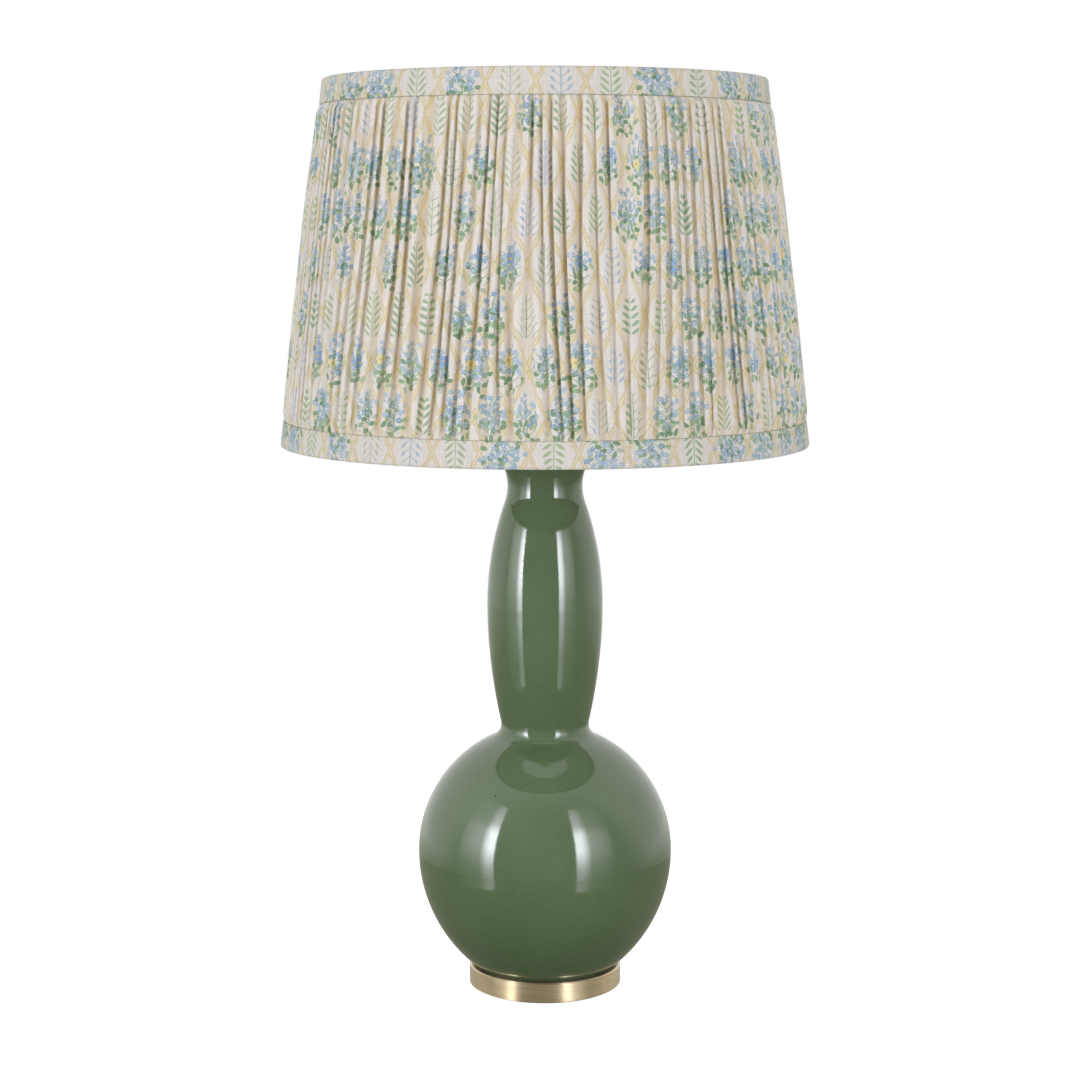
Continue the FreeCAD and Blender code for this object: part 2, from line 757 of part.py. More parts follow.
def socket_body():
    """The moulded core, with a flat on each side for a terminal and a bore for the switch."""
    body = turned("socket_core", [
        ("0", "core_bottom"),
        ("core_radius", "core_bottom"),
        ("core_radius", "core_top"),
        ("0", "core_top"),
    ], "socket_level")
    bore = pocket_hole(body, "shaft_bore", "YZ_Plane", "switch_height", "shaft_radius + shaft_fit",
                       "shaft_start - shaft_fit", reverse=True)
    tip(body, bore)
    tools = []
    for side, start in (("left", "-core_radius"), ("right", "core_flat")):
        tools.append(make("Part::Box", "flat_" + side, Length="2 * core_radius",
                          Width="core_radius - core_flat", Height="core_flat_top - core_bottom",
                          Placement__Base__x="-core_radius", Placement__Base__y=start,
                          Placement__Base__z="socket_level + core_bottom"))
    across = make("Part::Cylinder", "terminal_bore", Radius="terminal_shank_radius + terminal_fit",
                  Height="2 * core_flat", Placement__Base__y="-core_flat",
                  Placement__Base__z="socket_level + terminal_height")
    across.Placement.Rotation = FreeCAD.Rotation(FreeCAD.Vector(1, 0, 0), -90)
    middle = make("Part::Box", "web_between", Length="terminal_web",
                  Width="2 * (core_flat - terminal_shank)", Height="terminal_web",
                  Placement__Base__x="-terminal_web / 2",
                  Placement__Base__y="terminal_shank - core_flat",
                  Placement__Base__z="socket_level + terminal_height - terminal_web / 2")
    drill = cut("terminal_drill", across, middle)
    return cut("socket_body", body, *tools, drill)


def terminal_screws():
    """Two brass terminal screws, their heads on the flats of the core."""
    screws = []
    for side, angle in (("left", 90), ("right", -90)):
        screw = turned("terminal_" + side, [
            ("0", "core_flat - terminal_shank"),
            ("terminal_shank_radius", "core_flat - terminal_shank"),
            ("terminal_shank_radius", "core_flat"),
            ("terminal_head_radius", "core_flat"),
            ("terminal_head_radius", "core_flat + terminal_head"),
            ("0", "core_flat + terminal_head"),
        ], "socket_level + terminal_height")
        screw.Placement.Rotation = FreeCAD.Rotation(FreeCAD.Vector(1, 0, 0), angle)
        screws.append(screw)
    pair = doc.addObject("Part::Compound", "terminal_screws")
    pair.Links = screws
    return pair


def screw_shell():
    """The thin brass cup that the bulb screws into, with an eye for the centre contact."""
    return turned("screw_shell", [
        ("screw_shell_eye", "0"),
        ("screw_shell_radius + screw_shell_wall", "0"),
        ("screw_shell_radius + screw_shell_wall", "screw_shell_height"),
        ("screw_shell_radius", "screw_shell_height"),
        ("screw_shell_radius", "screw_shell_wall"),
        ("screw_shell_eye", "screw_shell_wall"),
    ], "core_level")


def centre_contact():
    """A sprung brass bridge under the tip of the bulb."""
    body = new_body("centre_contact")
    sketch = new_sketch(body, "contact_outline", "XZ_Plane")
    draw(sketch, [
        ("0", "contact_top - contact_leaf"),
        ("contact_crown", "contact_top - contact_leaf"),
        ("contact_foot - contact_foot_length", "core_level"),
        ("contact_foot", "core_level"),
        ("contact_foot", "core_level + contact_leaf"),
        ("contact_foot - contact_foot_length + contact_leaf / 2", "core_level + contact_leaf"),
        ("contact_crown + contact_leaf / 2", "contact_top"),
        ("0", "contact_top"),
    ])
    half = body.newObject("PartDesign::Pad", "contact_half")
    half.Profile = sketch
    half.Midplane = True
    bind(half, Length="contact_width")
    doc.recompute()
    both = body.newObject("PartDesign::Mirrored", "contact_both")
    both.Originals = [half]
    both.MirrorPlane = (origin_plane(body, "YZ_Plane"), [""])
    return tip(body, both)


# Turn switch, with outlines along its own axis, which is turned to point along +X

def point_along_x(body):
    """Lay a piece that was turned about Z along the switch's axis."""
    body.Placement.Rotation = FreeCAD.Rotation(FreeCAD.Vector(0, 1, 0), 90)
    return body


def switch_shaft():
    """The steel shaft from the core of the socket into the knob."""
    end = "knob_start + knob_length / 2"
    body = turned("switch_shaft", [
        ("0", "shaft_start"),
        ("shaft_radius", "shaft_start"),
        ("shaft_radius", end),
        ("0", end),
    ], "switch_level")
    return point_along_x(body)


def switch_knob():
    """The moulded knob, rounded at its end and fluted for the fingers."""
    body = turned("switch_knob", [
        ("shaft_radius + insert_fit", "knob_start"),
        ("knob_radius", "knob_start"),
        ("knob_radius", "knob_start + knob_length - knob_round"),
        ("knob_radius - knob_round", "knob_start + knob_length", 1, "knob_round"),
        ("0", "knob_start + knob_length"),
        ("0", "knob_start + knob_length / 2 + insert_fit"),
        ("shaft_radius + insert_fit", "knob_start + knob_length / 2 + insert_fit"),
    ], "switch_level")
    sketch = new_sketch(body, "flute_circle", "XY_Plane", "knob_start + knob_length - knob_grip")
    draw_circle(sketch, "knob_radius + flute_stand", "0", "flute_radius")
    flute = body.newObject("PartDesign::Pocket", "flute")
    flute.Profile = sketch
    flute.Type = "Length"
    flute.Reversed = True
    bind(flute, Length="knob_grip")
    doc.recompute()
    around = body.newObject("PartDesign::PolarPattern", "flutes")
    around.Originals = [flute]
    around.Axis = (origin_plane(body, "Z_Axis"), [""])
    around.Angle = 360
    bind(around, Occurrences="flute_count")
    tip(body, around)
    return point_along_x(body)


# Bulb, with outlines in heights above its tip

def bulb_contact():
    """The solder tip."""
    return turned("bulb_contact", [
        ("0", "0"),
        ("tip_flat", "0"),
        ("tip_radius", "tip_edge"),
        ("tip_radius", "tip_height"),
        ("0", "tip_height"),
    ], "bulb_level")


def bulb_insulator():
    """The dark glass cone between the tip and the cap."""
    return turned("bulb_insulator", [
        ("0", "tip_height"),
        ("tip_radius", "tip_height"),
        ("insulator_radius", "insulator_top - bulb_cap_wall"),
        ("insulator_radius", "insulator_top"),
        ("0", "insulator_top"),
    ], "bulb_level")


def bulb_cap():
    """The ribbed aluminium cap, drawn as one arc for each rib."""
    ribs = []
    for index in range(int(number("rib_count"))):
        ribs.append(("rib_root", f"rib_start + {index + 1} * rib_pitch", 1, "rib_curve"))
    return turned("bulb_cap", [
        ("insulator_radius", "insulator_top"),
        ("rib_root", "insulator_top"),
        ("rib_root", "rib_start"),
        *ribs,
        ("rib_root", "bulb_cap_height - 2 * bulb_cap_collar"),
        ("bulb_neck", "bulb_cap_height - bulb_cap_collar"),
        ("bulb_neck", "bulb_cap_height"),
        ("bulb_neck - bulb_cap_wall", "bulb_cap_height"),
        ("bulb_neck - bulb_cap_wall", "bulb_cap_height - bulb_cap_collar"),
        ("rib_root - bulb_cap_wall", "bulb_cap_height - 2 * bulb_cap_collar"),
        ("rib_root - bulb_cap_wall", "insulator_top + bulb_cap_wall"),
        ("insulator_radius", "insulator_top + bulb_cap_wall"),
    ], "bulb_level")


def bulb_glass():
    """The opal envelope: a ball on a throat that is tangent to it and to the neck."""
    def tangent(inset):
        share = f"(bulb_radius - {inset}) / (bulb_radius + bulb_throat)"
        return f"throat_axis * {share}", f"glass_centre - throat_drop * {share}"
    outer = tangent("0")
    inner = tangent("glass_wall")
    return turned("bulb_glass", [
        ("bulb_neck - glass_wall", "bulb_cap_height"),
        ("bulb_neck", "bulb_cap_height"),
        ("bulb_neck", "glass_centre - throat_drop"),
        (*outer, -1, "bulb_throat"),
        ("0", "bulb_length", 1, "bulb_radius"),
        ("0", "bulb_length - glass_wall"),
        (*inner, -1, "bulb_radius - glass_wall"),
        ("bulb_neck - glass_wall", "glass_centre - throat_drop", 1, "bulb_throat + glass_wall"),
    ], "bulb_level")


# Seat, spider and finial

def seat_washer():
    """The washer on top of the harp that the spider turns on."""
    return ring("seat_washer", "stud_radius + stud_gap", "seat_radius", "seat_level + seat_gap",
                "seat_level + seat_gap + seat_thickness")


def spider_hub():
    """The steel disc in the middle of the spider, with a hole for the stud."""
    return ring("spider_hub", "stud_radius + stud_gap", "hub_radius", "hub_bottom", "hub_top")


def spider_arms():
    """Bent wires from the hub, level at first and then up to the top ring of the shade."""
    body = new_body("spider_arms")
    body.AllowCompound = True
    path = new_sketch(body, "arm_path", "XZ_Plane")
    draw(path, [
        ("hub_radius - arm_weld", "arm_level"),
        ("arm_flat - arm_tangent", "arm_level"),
        ("arm_flat + arm_tangent * arm_run / arm_length",
         "arm_level + arm_tangent * arm_rise / arm_length", 1, "arm_bend"),
        ("arm_flat + arm_run", "arm_level + arm_rise"),
    ], closed=False)
    section = new_sketch(body, "arm_section", "YZ_Plane", "hub_radius - arm_weld")
    draw_circle(section, "0", "arm_level", "arm_wire")
    doc.recompute()
    arm = body.newObject("PartDesign::AdditivePipe", "arm")
    arm.Profile = section
    arm.Spine = path
    doc.recompute()
    around = body.newObject("PartDesign::PolarPattern", "arms_around")
    around.Originals = [arm]
    around.Axis = (origin_plane(body, "Z_Axis"), [""])
    around.Angle = 360
    bind(around, Occurrences="arm_count")
    return tip(body, around)


def finial_insert():
    """The threaded brass insert of the finial, with a flange that clamps the hub."""
    bore = "stud_radius + thread_fit"
    barrel = f"{bore} + insert_wall"
    return turned("finial_insert", [
        (bore, "0"),
        (f"{barrel} + insert_flange", "0"),
        (f"{barrel} + insert_flange", "insert_flange_height"),
        (barrel, "insert_flange_height"),
        (barrel, "insert_height"),
        (bore, "insert_height"),
    ], "finial_level")


def finial_knob():
    """A low brass knob on the insert: a foot, a waist and a flattened ball."""
    hole = "stud_radius + thread_fit + insert_wall + insert_fit"
    seat = "insert_flange_height + insert_fit"
    return turned("finial_knob", [
        (hole, seat),
        ("finial_foot", seat),
        ("finial_foot", "finial_foot_height"),
        ("finial_waist", "finial_waist_height", -1, "finial_neck_curve"),
        ("0", "finial_height", 1, "finial_ball"),
        ("0", "insert_height + insert_fit"),
        (hole, "insert_height + insert_fit"),
    ], "finial_level")


# Shade

def wire_ring(name, radius, level):
    """A wire hoop inside the lining."""
    return make("Part::Torus", name, Radius1=radius, Radius2="ring_wire", Placement__Base__z=level)


def shade_liner():
    """The stiff conical lining that gives the shade its shape."""
    top = "shade_top - shade_margin"
    bottom = "shade_bottom + shade_margin"
    top_radius = "liner_top_radius + shade_slope * shade_margin"
    bottom_radius = "liner_bottom_radius - shade_slope * shade_margin"
    return turned("shade_liner", [
        (f"{bottom_radius} - liner_thickness", bottom),
        (bottom_radius, bottom),
        (top_radius, top),
        (f"{top_radius} - liner_thickness", top),
    ])


def band(name, end, edge_radius, ring_radius, sign, side):
    """A flat band of cloth, turned over the end of the shade and down inside the ring.

    The sign takes a height away from the end of the shade, and the side keeps the arcs bowed
    outwards at both ends."""
    lean, back = ("+", "-") if sign == "-" else ("-", "+")
    outside = f"{edge_radius} + trim_offset"
    inside = f"{ring_radius} {back} shade_slope * ring_margin - ring_wire - shade_margin"

    def at(radius, away):
        return f"{radius} {lean} shade_slope * ({away})", f"{end} {sign} ({away})"
    turn = (side, "trim_round")
    return turned(name, [
        at(outside, "trim_height"),
        at(outside, "trim_round"),
        (*at(f"{outside} - trim_round", "0"), *turn),
        at(f"{inside} + trim_round", "0"),
        (*at(inside, "trim_round"), *turn),
        at(inside, "trim_leaf"),
        at(f"{inside} + trim_thickness", "trim_leaf"),
        at(f"{inside} + trim_thickness", "trim_thickness"),
        at(f"{outside} - trim_thickness", "trim_thickness"),
        at(f"{outside} - trim_thickness", "trim_height"),
    ])


def top_trim():
    """The upper band, with a slit in its inner leaf for each arm of the spider."""
    body = band("top_trim", "shade_top", "liner_top_radius", "top_ring_radius", "-", 1)
    leaf = "top_ring_radius - ring_wire - layer_gap - trim_thickness / 2"
    across = "arm_run / arm_rise"
    up = f"arm_level + arm_rise - (arm_flat + arm_run - ({leaf})) / ({across})"
    radius = "arm_wire * arm_length / arm_run + arm_slit"
    slit = pocket_hole(body, "arm_slit", "YZ_Plane", up, radius, f"{leaf} - arm_slit_depth / 2",
                       "arm_slit_depth", reverse=True)
    doc.recompute()
    around = body.newObject("PartDesign::PolarPattern", "arm_slits")
    around.Originals = [slit]
    around.Axis = (origin_plane(body, "Z_Axis"), [""])
    around.Angle = 360
    bind(around, Occurrences="arm_count")
    return tip(body, around)


def bottom_trim():
    """The lower band, the same the other way up."""
    return band("bottom_trim", "shade_bottom", "liner_bottom_radius", "bottom_ring_radius", "+", -1)


def fold_angles():
    """Where the valleys between the folds are: evenly round the shade, pushed about by slow waves."""
    count = int(number("fold_count"))
    wander = number("fold_wander")
    wave, drift, start = number("wander_step"), number("drift_step"), number("drift_start")
    step = 2 * math.pi / count
    angles = []
    for index in range(count):
        push = math.sin(wave * index) + math.sin(drift * index + start)
        angles.append(step * (index + wander * push))
    return angles


def gathered_outline(angles, crest, depth, level):
    """One level of the cloth: an arc from valley to valley for each fold, some fuller than others."""
    def place(radius, angle):
        return FreeCAD.Vector(radius * math.cos(angle), radius * math.sin(angle), level)
    spread, wave = number("fullness_spread"), number("fullness_step")
    edges = []
    for index, angle in enumerate(angles):
        after = angles[index + 1] if index + 1 < len(angles) else angles[0] + 2 * math.pi
        fullness = 1 - spread + spread * math.sin(wave * index)
        middle = place(crest - depth * (1 - fullness), (angle + after) / 2)
        arc = Part.Arc(place(crest - depth, angle), middle, place(crest - depth, after))
        edges.append(arc.toShape())
    return Part.Wire(edges)


def round_outline(radius, level):
    """One level of the cloth's inner face, as four quarter arcs."""
    def place(angle):
        return FreeCAD.Vector(radius * math.cos(angle), radius * math.sin(angle), level)
    quarter = math.pi / 2
    edges = []
    for index in range(4):
        start = index * quarter
        edges.append(Part.Arc(place(start), place(start + quarter / 2), place(start + quarter)).toShape())
    return Part.Wire(edges)


def shade_cover():
    """The gathered cloth: flat under each band, then full folds that stand off the lining."""
    top = number("shade_top - shade_margin")
    bottom = number("shade_bottom + shade_margin")
    band_height = number("trim_height")
    start = number("fold_start")
    upper_edge = number("shade_top") - band_height
    lower_edge = number("shade_bottom") + band_height
    span = upper_edge - lower_edge
    tucked = number("layer_gap + tucked_cloth")
    proud = tucked + number("trim_thickness")
    puff = number("fold_puff")
    shallow = number("tucked_fold_depth")
    deep = number("fold_depth")
    stations = [(bottom, tucked, shallow), (lower_edge, tucked, shallow)]
    stations.append((lower_edge + start, proud, (shallow + deep) / 2))
    for share in FULL_STATIONS:
        bow = puff * 4 * share * (1 - share)
        stations.append((lower_edge + span * share, proud + bow, deep))
    stations.append((upper_edge - start, proud, (shallow + deep) / 2))
    stations += [(upper_edge, tucked, shallow), (top, tucked, shallow)]
    angles = fold_angles()
    outer = []
    inner = []
    for level, stand, depth in stations:
        lining = number("liner_top_radius") + number("shade_slope") * (number("shade_top") - level)
        outer.append(gathered_outline(angles, lining + stand, depth, level))
        clear = max(stand - depth - number("cloth_thickness"), number("layer_gap") / 2)
        inner.append(round_outline(lining + clear, level))
    folded = Part.makeLoft(outer, True, True)
    hollow = Part.makeLoft(inner, True, True)
    cloth = doc.addObject("Part::Feature", "shade_cover")
    cloth.Shape = folded.cut(hollow)
    return cloth


nodes = [
    felt_pad(),
    bottom_plate(),
    base_plinth(),
    cord_bush(),
    foot_washer(),
    hex_nut("rod_nut", "foot_nut_bottom", "foot_nut_height"),
    lamp_rod(),
    foot_gasket(),
    ceramic_body(),
    cap_gasket(),
    vase_cap(),
    neck_tube(),
    harp_saddle(),
    hex_nut("saddle_nut", "saddle_top", "saddle_nut_height"),
    harp(),
    harp_stud(),
    harp_sleeve("left", "-"),
    harp_sleeve("right", ""),
    socket_cap(),
    socket_shell(),
    socket_sleeve(),
    socket_body(),
    terminal_screws(),
    screw_shell(),
    centre_contact(),
    switch_shaft(),
    switch_knob(),
    bulb_contact(),
    bulb_insulator(),
    bulb_cap(),
    bulb_glass(),
    seat_washer(),
    spider_hub(),
    spider_arms(),
    finial_insert(),
    finial_knob(),
    wire_ring("shade_top_ring", "top_ring_radius", "top_ring_level"),
    wire_ring("shade_bottom_ring", "bottom_ring_radius", "bottom_ring_level"),
    shade_liner(),
    shade_cover(),
    top_trim(),
    bottom_trim(),
]
doc.recompute()

failed = [item.Name for item in doc.Objects if {"Invalid", "Error"} & set(item.State)]
if failed:
    raise RuntimeError("these did not build: " + ", ".join(failed))
for node in nodes:
    if node.Shape.isNull() or not node.Shape.isValid():
        raise RuntimeError("this piece has no sound shape: " + node.Label)

os.makedirs("parts", exist_ok=True)
for node in nodes:
    node.Shape.exportStep(os.path.join("parts", node.Label + ".step"))
    box = node.Shape.BoundBox
    print(f"{node.Label:18s} solids {len(node.Shape.Solids)}  volume {node.Shape.Volume:10.1f}"
          f"  z {box.ZMin:7.2f} to {box.ZMax:7.2f}")
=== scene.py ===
# %% [markdown]
# # A double gourd lamp
# This lesson dresses a measured model of a table lamp: a glazed stoneware body on a brushed
# brass plinth, under a gathered shade of printed cotton. The model brings the hard pieces, at
# their real sizes in metres. The soft pieces are made here, and every piece gets its finish.

# %% Load the measured model
import json
import math

import bmesh
import bpy
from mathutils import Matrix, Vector, noise

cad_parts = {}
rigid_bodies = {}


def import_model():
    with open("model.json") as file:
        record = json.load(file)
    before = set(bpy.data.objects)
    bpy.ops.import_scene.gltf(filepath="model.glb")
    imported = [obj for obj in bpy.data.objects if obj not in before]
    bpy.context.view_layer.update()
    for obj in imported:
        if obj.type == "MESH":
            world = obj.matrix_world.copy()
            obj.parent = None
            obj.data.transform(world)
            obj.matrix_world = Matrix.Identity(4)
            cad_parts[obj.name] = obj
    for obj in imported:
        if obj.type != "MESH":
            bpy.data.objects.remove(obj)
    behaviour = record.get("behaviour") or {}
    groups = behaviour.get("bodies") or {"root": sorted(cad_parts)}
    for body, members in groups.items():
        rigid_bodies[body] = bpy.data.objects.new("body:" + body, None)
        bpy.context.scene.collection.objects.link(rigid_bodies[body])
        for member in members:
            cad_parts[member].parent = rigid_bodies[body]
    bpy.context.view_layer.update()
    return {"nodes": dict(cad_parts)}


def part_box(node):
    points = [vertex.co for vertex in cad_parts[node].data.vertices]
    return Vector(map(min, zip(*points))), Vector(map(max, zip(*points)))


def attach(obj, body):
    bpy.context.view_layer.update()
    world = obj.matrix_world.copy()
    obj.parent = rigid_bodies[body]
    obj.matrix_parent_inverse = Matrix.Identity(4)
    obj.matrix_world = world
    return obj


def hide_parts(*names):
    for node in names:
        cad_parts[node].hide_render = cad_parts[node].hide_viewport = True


for leftover in list(bpy.data.objects):
    bpy.data.objects.remove(leftover)
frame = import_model()
nodes = frame["nodes"]
MM = 0.001

# %% [markdown]
# ## Tools for the finishes
# A finish is a small net of nodes. One function adds a node, sets its values and links its
# inputs, so that each finish below reads as a list of what the eye sees. Colours are written as
# sRGB hex, as a paint chart gives them, and pattern sizes as millimetres on the real object.
# Sockets are named where their names differ. The maths nodes give all their inputs one name, so
# those are counted from 0, and the numbers of a colour Mix have names of their own here.

# %% Add nodes, turn colours, count repeats
FACTOR, UNDER, OVER, MIXED = 0, 6, 7, 2
COVERS = {"data_type": "RGBA"}
TINTS = {"data_type": "RGBA", "blend_type": "MULTIPLY"}


def linear(code):
    """An sRGB hex value as the linear colour that a socket takes."""
    parts = [int(code[i:i + 2], 16) / 255 for i in (1, 3, 5)]
    curve = [p / 12.92 if p <= 0.04045 else ((p + 0.055) / 1.055) ** 2.4 for p in parts]
    return (*curve, 1.0)


def every(size):
    """The scale of a pattern that repeats every so many millimetres."""
    return 1 / (size * MM)


def link(tree, node, inputs):
    """Sets a node's inputs. A node or a socket is linked, and a hex value becomes a colour."""
    for name, value in inputs.items():
        if isinstance(value, bpy.types.Node):
            value = value.outputs[MIXED if value.bl_idname == "ShaderNodeMix" else 0]
        if isinstance(value, bpy.types.NodeSocket):
            tree.links.new(value, node.inputs[name])
        elif isinstance(value, str):
            node.inputs[name].default_value = linear(value)
        else:
            node.inputs[name].default_value = value


def add(tree, kind, inputs, stops=(), **settings):
    """Adds a node with its settings, its links and, for a ramp, its stops."""
    node = tree.nodes.new("ShaderNode" + kind)
    for name, value in settings.items():
        setattr(node, name, value)
    for index, (place, code) in enumerate(stops):
        ramp = node.color_ramp.elements
        stop = ramp[index] if index < 2 else ramp.new(place)
        stop.position = place
        stop.color = linear(code)
    link(tree, node, inputs)
    return node


def bare_tree(owner):
    """The node tree of a material, a world or a light, with nothing in it yet."""
    owner.use_nodes = True
    owner.node_tree.nodes.clear()
    return owner.node_tree


def new_finish(name, **values):
    """A material with one shader, whose fixed values are set here on its own sockets."""
    material = bpy.data.materials.new(name)
    tree = bare_tree(material)
    shader = add(tree, "BsdfPrincipled", {})
    add(tree, "OutputMaterial", {"Surface": shader})
    link(tree, shader, {key.replace("_", " "): value for key, value in values.items()})
    return material, tree, shader


def dress(material, *names):
    """Gives a material to nodes of the measured model."""
    for name in names:
        nodes[name].data.materials.clear()
        nodes[name].data.materials.append(material)
    print(material.name.split(".")[0], "is on", ", ".join(names))


# %% [markdown]
# ## The glaze
# The body is thrown stoneware under a sage green glaze. Melted glass gives a sharp reflection
# over a colour that pools a little darker and lighter, and a kiln leaves a few specks. So the
# colour drifts over some centimetres, the gloss has a slight unevenness, and the surface waves
# by hundredths of a millimetre, as glaze does where it has run.

# %% Glazed stoneware
glaze, tree, shader = new_finish("glazed_stoneware", IOR=1.68)
spot = add(tree, "TexCoord", {}).outputs["Object"]
pooling = add(tree, "TexNoise", {"Vector": spot, "Scale": every(70), "Detail": 3.0})
tone = add(tree, "ValToRGB", {"Fac": pooling}, [(0.3, "#4e6340"), (0.7, "#586c4a")])
grain = add(tree, "TexNoise", {"Vector": spot, "Scale": every(1.5), "Detail": 2.0})
mottle = add(tree, "ValToRGB", {"Fac": grain}, [(0.35, "#f4f4f4"), (0.65, "#ffffff")])
mottled = add(tree, "Mix", {FACTOR: 1.0, UNDER: tone, OVER: mottle}, **TINTS)
cells = add(tree, "TexVoronoi", {"Vector": spot, "Scale": every(26), "Randomness": 1.0})
speck = add(tree, "ValToRGB", {"Fac": cells}, [(0.026, "#3b4733"), (0.04, "#ffffff")])
specked = add(tree, "Mix", {FACTOR: 1.0, UNDER: mottled, OVER: speck}, **TINTS)
smear = add(tree, "TexNoise", {"Vector": spot, "Scale": every(25), "Detail": 4.0})
gloss = add(tree, "MapRange", {"Value": smear, "To Min": 0.045, "To Max": 0.10})
flow = add(tree, "TexNoise", {"Vector": spot, "Scale": every(14), "Detail": 2.0})
wave = add(tree, "Bump", {"Height": flow, "Strength": 0.25, "Distance": 0.15 * MM})
link(tree, shader, {"Base Color": specked, "Roughness": gloss, "Normal": wave})
dress(glaze, "ceramic_body")

# %% [markdown]
# ## The metals
# The plinth, cap and finial are brass, turned and then brushed round, so light lies on them in
# bands that run up and down, and fine lines run round them. A clear lacquer over the brushing
# keeps it bright, and lays a second, softer reflection on top. The socket is spun brass with so
# thin a lacquer that only its yellow shows, the harp is nickel-plated steel, and the hidden rod
# and nuts are zinc-plated. They share one recipe: a noise stretched along the tool's path gives
# the lines, and a slower one gives the handling marks and the tarnish.

# %% Brushed, spun and plated metal


def metal(name, bright, dull, rough, line, run, depth, **values):
    """Brushed metal. Lines are so many millimetres apart, and as long as run makes them."""
    material, tree, shader = new_finish(name, Metallic=1.0, **values)
    spot = add(tree, "TexCoord", {}).outputs["Object"]
    path = add(tree, "Mapping", {"Vector": spot, "Scale": run})
    lines = add(tree, "TexNoise", {"Vector": path, "Scale": every(line), "Detail": 3.0})
    wear = add(tree, "TexNoise", {"Vector": spot, "Scale": every(18), "Detail": 5.0})
    both = add(tree, "Math", {0: lines, 1: wear}, operation="MULTIPLY")
    tone = add(tree, "ValToRGB", {"Fac": both}, [(0.12, dull), (0.34, bright)])
    gloss = add(tree, "MapRange", {"Value": lines, "To Min": rough * 0.75, "To Max": rough * 1.3})
    groove = add(tree, "Bump", {"Height": lines, "Strength": 0.4, "Distance": depth * MM})
    link(tree, shader, {"Base Color": tone, "Roughness": gloss, "Normal": groove})
    # Only the turned ones have values, and their highlights spread across the turning
    if values:
        round_axis = add(tree, "Tangent", {}, direction_type="RADIAL", axis="Z")
        link(tree, shader, {"Tangent": round_axis})
    return material


ROUND = (0.02, 0.02, 1.0)
DRAWN = (1.0, 1.0, 0.05)
EVEN = (1.0, 1.0, 1.0)
TURNED = {"Anisotropic": 0.85, "Anisotropic_Rotation": 0.25}
LACQUERED = {"Coat_Weight": 1.0, "Coat_Roughness": 0.3, **TURNED}
brushed_brass = metal("brushed_brass", "#e8d5ae", "#cbb48b", 0.34, 0.5, ROUND, 0.02, **LACQUERED)
spun_brass = metal("lacquered_brass", "#d8bd7c", "#bd9f62", 0.26, 0.5, ROUND, 0.008, **TURNED)
nickel = metal("nickel_plate", "#cfcac0", "#aaa59b", 0.22, 0.8, DRAWN, 0.015)
zinc = metal("zinc_plate", "#b9bab6", "#8f908c", 0.38, 0.6, EVEN, 0.03)
aluminium = metal("rolled_aluminium", "#cfcfce", "#b3b3b2", 0.28, 0.6, ROUND, 0.02, **TURNED)
solder = metal("solder", "#b7b8b9", "#8d8e90", 0.42, 1.2, EVEN, 0.06)
dress(brushed_brass, "base_plinth", "vase_cap", "neck_tube", "finial_knob")
dress(spun_brass, "socket_cap", "socket_shell", "harp_stud", "saddle_nut", "seat_washer",
      "finial_insert", "screw_shell", "centre_contact", "terminal_screws")
dress(nickel, "harp", "harp_saddle", "harp_sleeve_left", "harp_sleeve_right")
dress(zinc, "lamp_rod", "rod_washer", "rod_nut", "bottom_plate", "switch_shaft")
dress(aluminium, "bulb_cap")
dress(solder, "bulb_contact")

# %% [markdown]
# ## Plastic, rubber, card, glass and enamel
# These have no direction of their own. Moulded plastic has a faint spark-eroded grain, rubber
# is duller and deeper, card shows its fibres, and enamel on wire is thick and slightly
# orange-peeled. One recipe covers them: a base colour with a drift, a grain size and a gloss.

# %% Moulded, pressed and dipped


def coated(name, light, dark, rough, grain, depth, **values):
    """A material with no direction, with grain of so many millimetres."""
    material, tree, shader = new_finish(name, **values)
    spot = add(tree, "TexCoord", {}).outputs["Object"]
    drift = add(tree, "TexNoise", {"Vector": spot, "Scale": every(grain * 12), "Detail": 4.0})
    tone = add(tree, "ValToRGB", {"Fac": drift}, [(0.35, dark), (0.65, light)])
    peel = add(tree, "TexNoise", {"Vector": spot, "Scale": every(grain), "Detail": 3.0})
    gloss = add(tree, "MapRange", {"Value": peel, "To Min": rough * 0.85, "To Max": rough * 1.15})
    relief = add(tree, "Bump", {"Height": peel, "Strength": 0.5, "Distance": depth * MM})
    link(tree, shader, {"Base Color": tone, "Roughness": gloss, "Normal": relief})
    return material


MILKY = {"Subsurface_Weight": 0.25, "Subsurface_Scale": 0.004}
phenolic = coated("moulded_phenolic", "#2b2826", "#211f1d", 0.34, 0.6, 0.02)
rubber = coated("black_rubber", "#2e2d2c", "#242322", 0.72, 0.8, 0.05)
card = coated("pressed_card", "#b39a72", "#9c845f", 0.85, 0.9, 0.06)
enamel = coated("white_enamel", "#e9e6de", "#dedad1", 0.30, 1.6, 0.04)
opal = coated("opal_glass", "#f1efe9", "#ebe9e2", 0.22, 3.0, 0.01, **MILKY)
black_glass = coated("black_glass", "#1d1b20", "#161518", 0.10, 2.0, 0.01)
dress(phenolic, "socket_body", "switch_knob")
dress(rubber, "cord_bush", "foot_gasket", "cap_gasket")
dress(card, "socket_sleeve")
dress(enamel, "spider_hub", "spider_arms", "shade_top_ring", "shade_bottom_ring")
dress(opal, "bulb_glass")
dress(black_glass, "bulb_insulator")

# %% [markdown]
# ## The lining
# Behind the cloth is a stiff sheet of white laminated paper that holds the shade's cone. It
# has a faint fibre, and it lets a little light through.

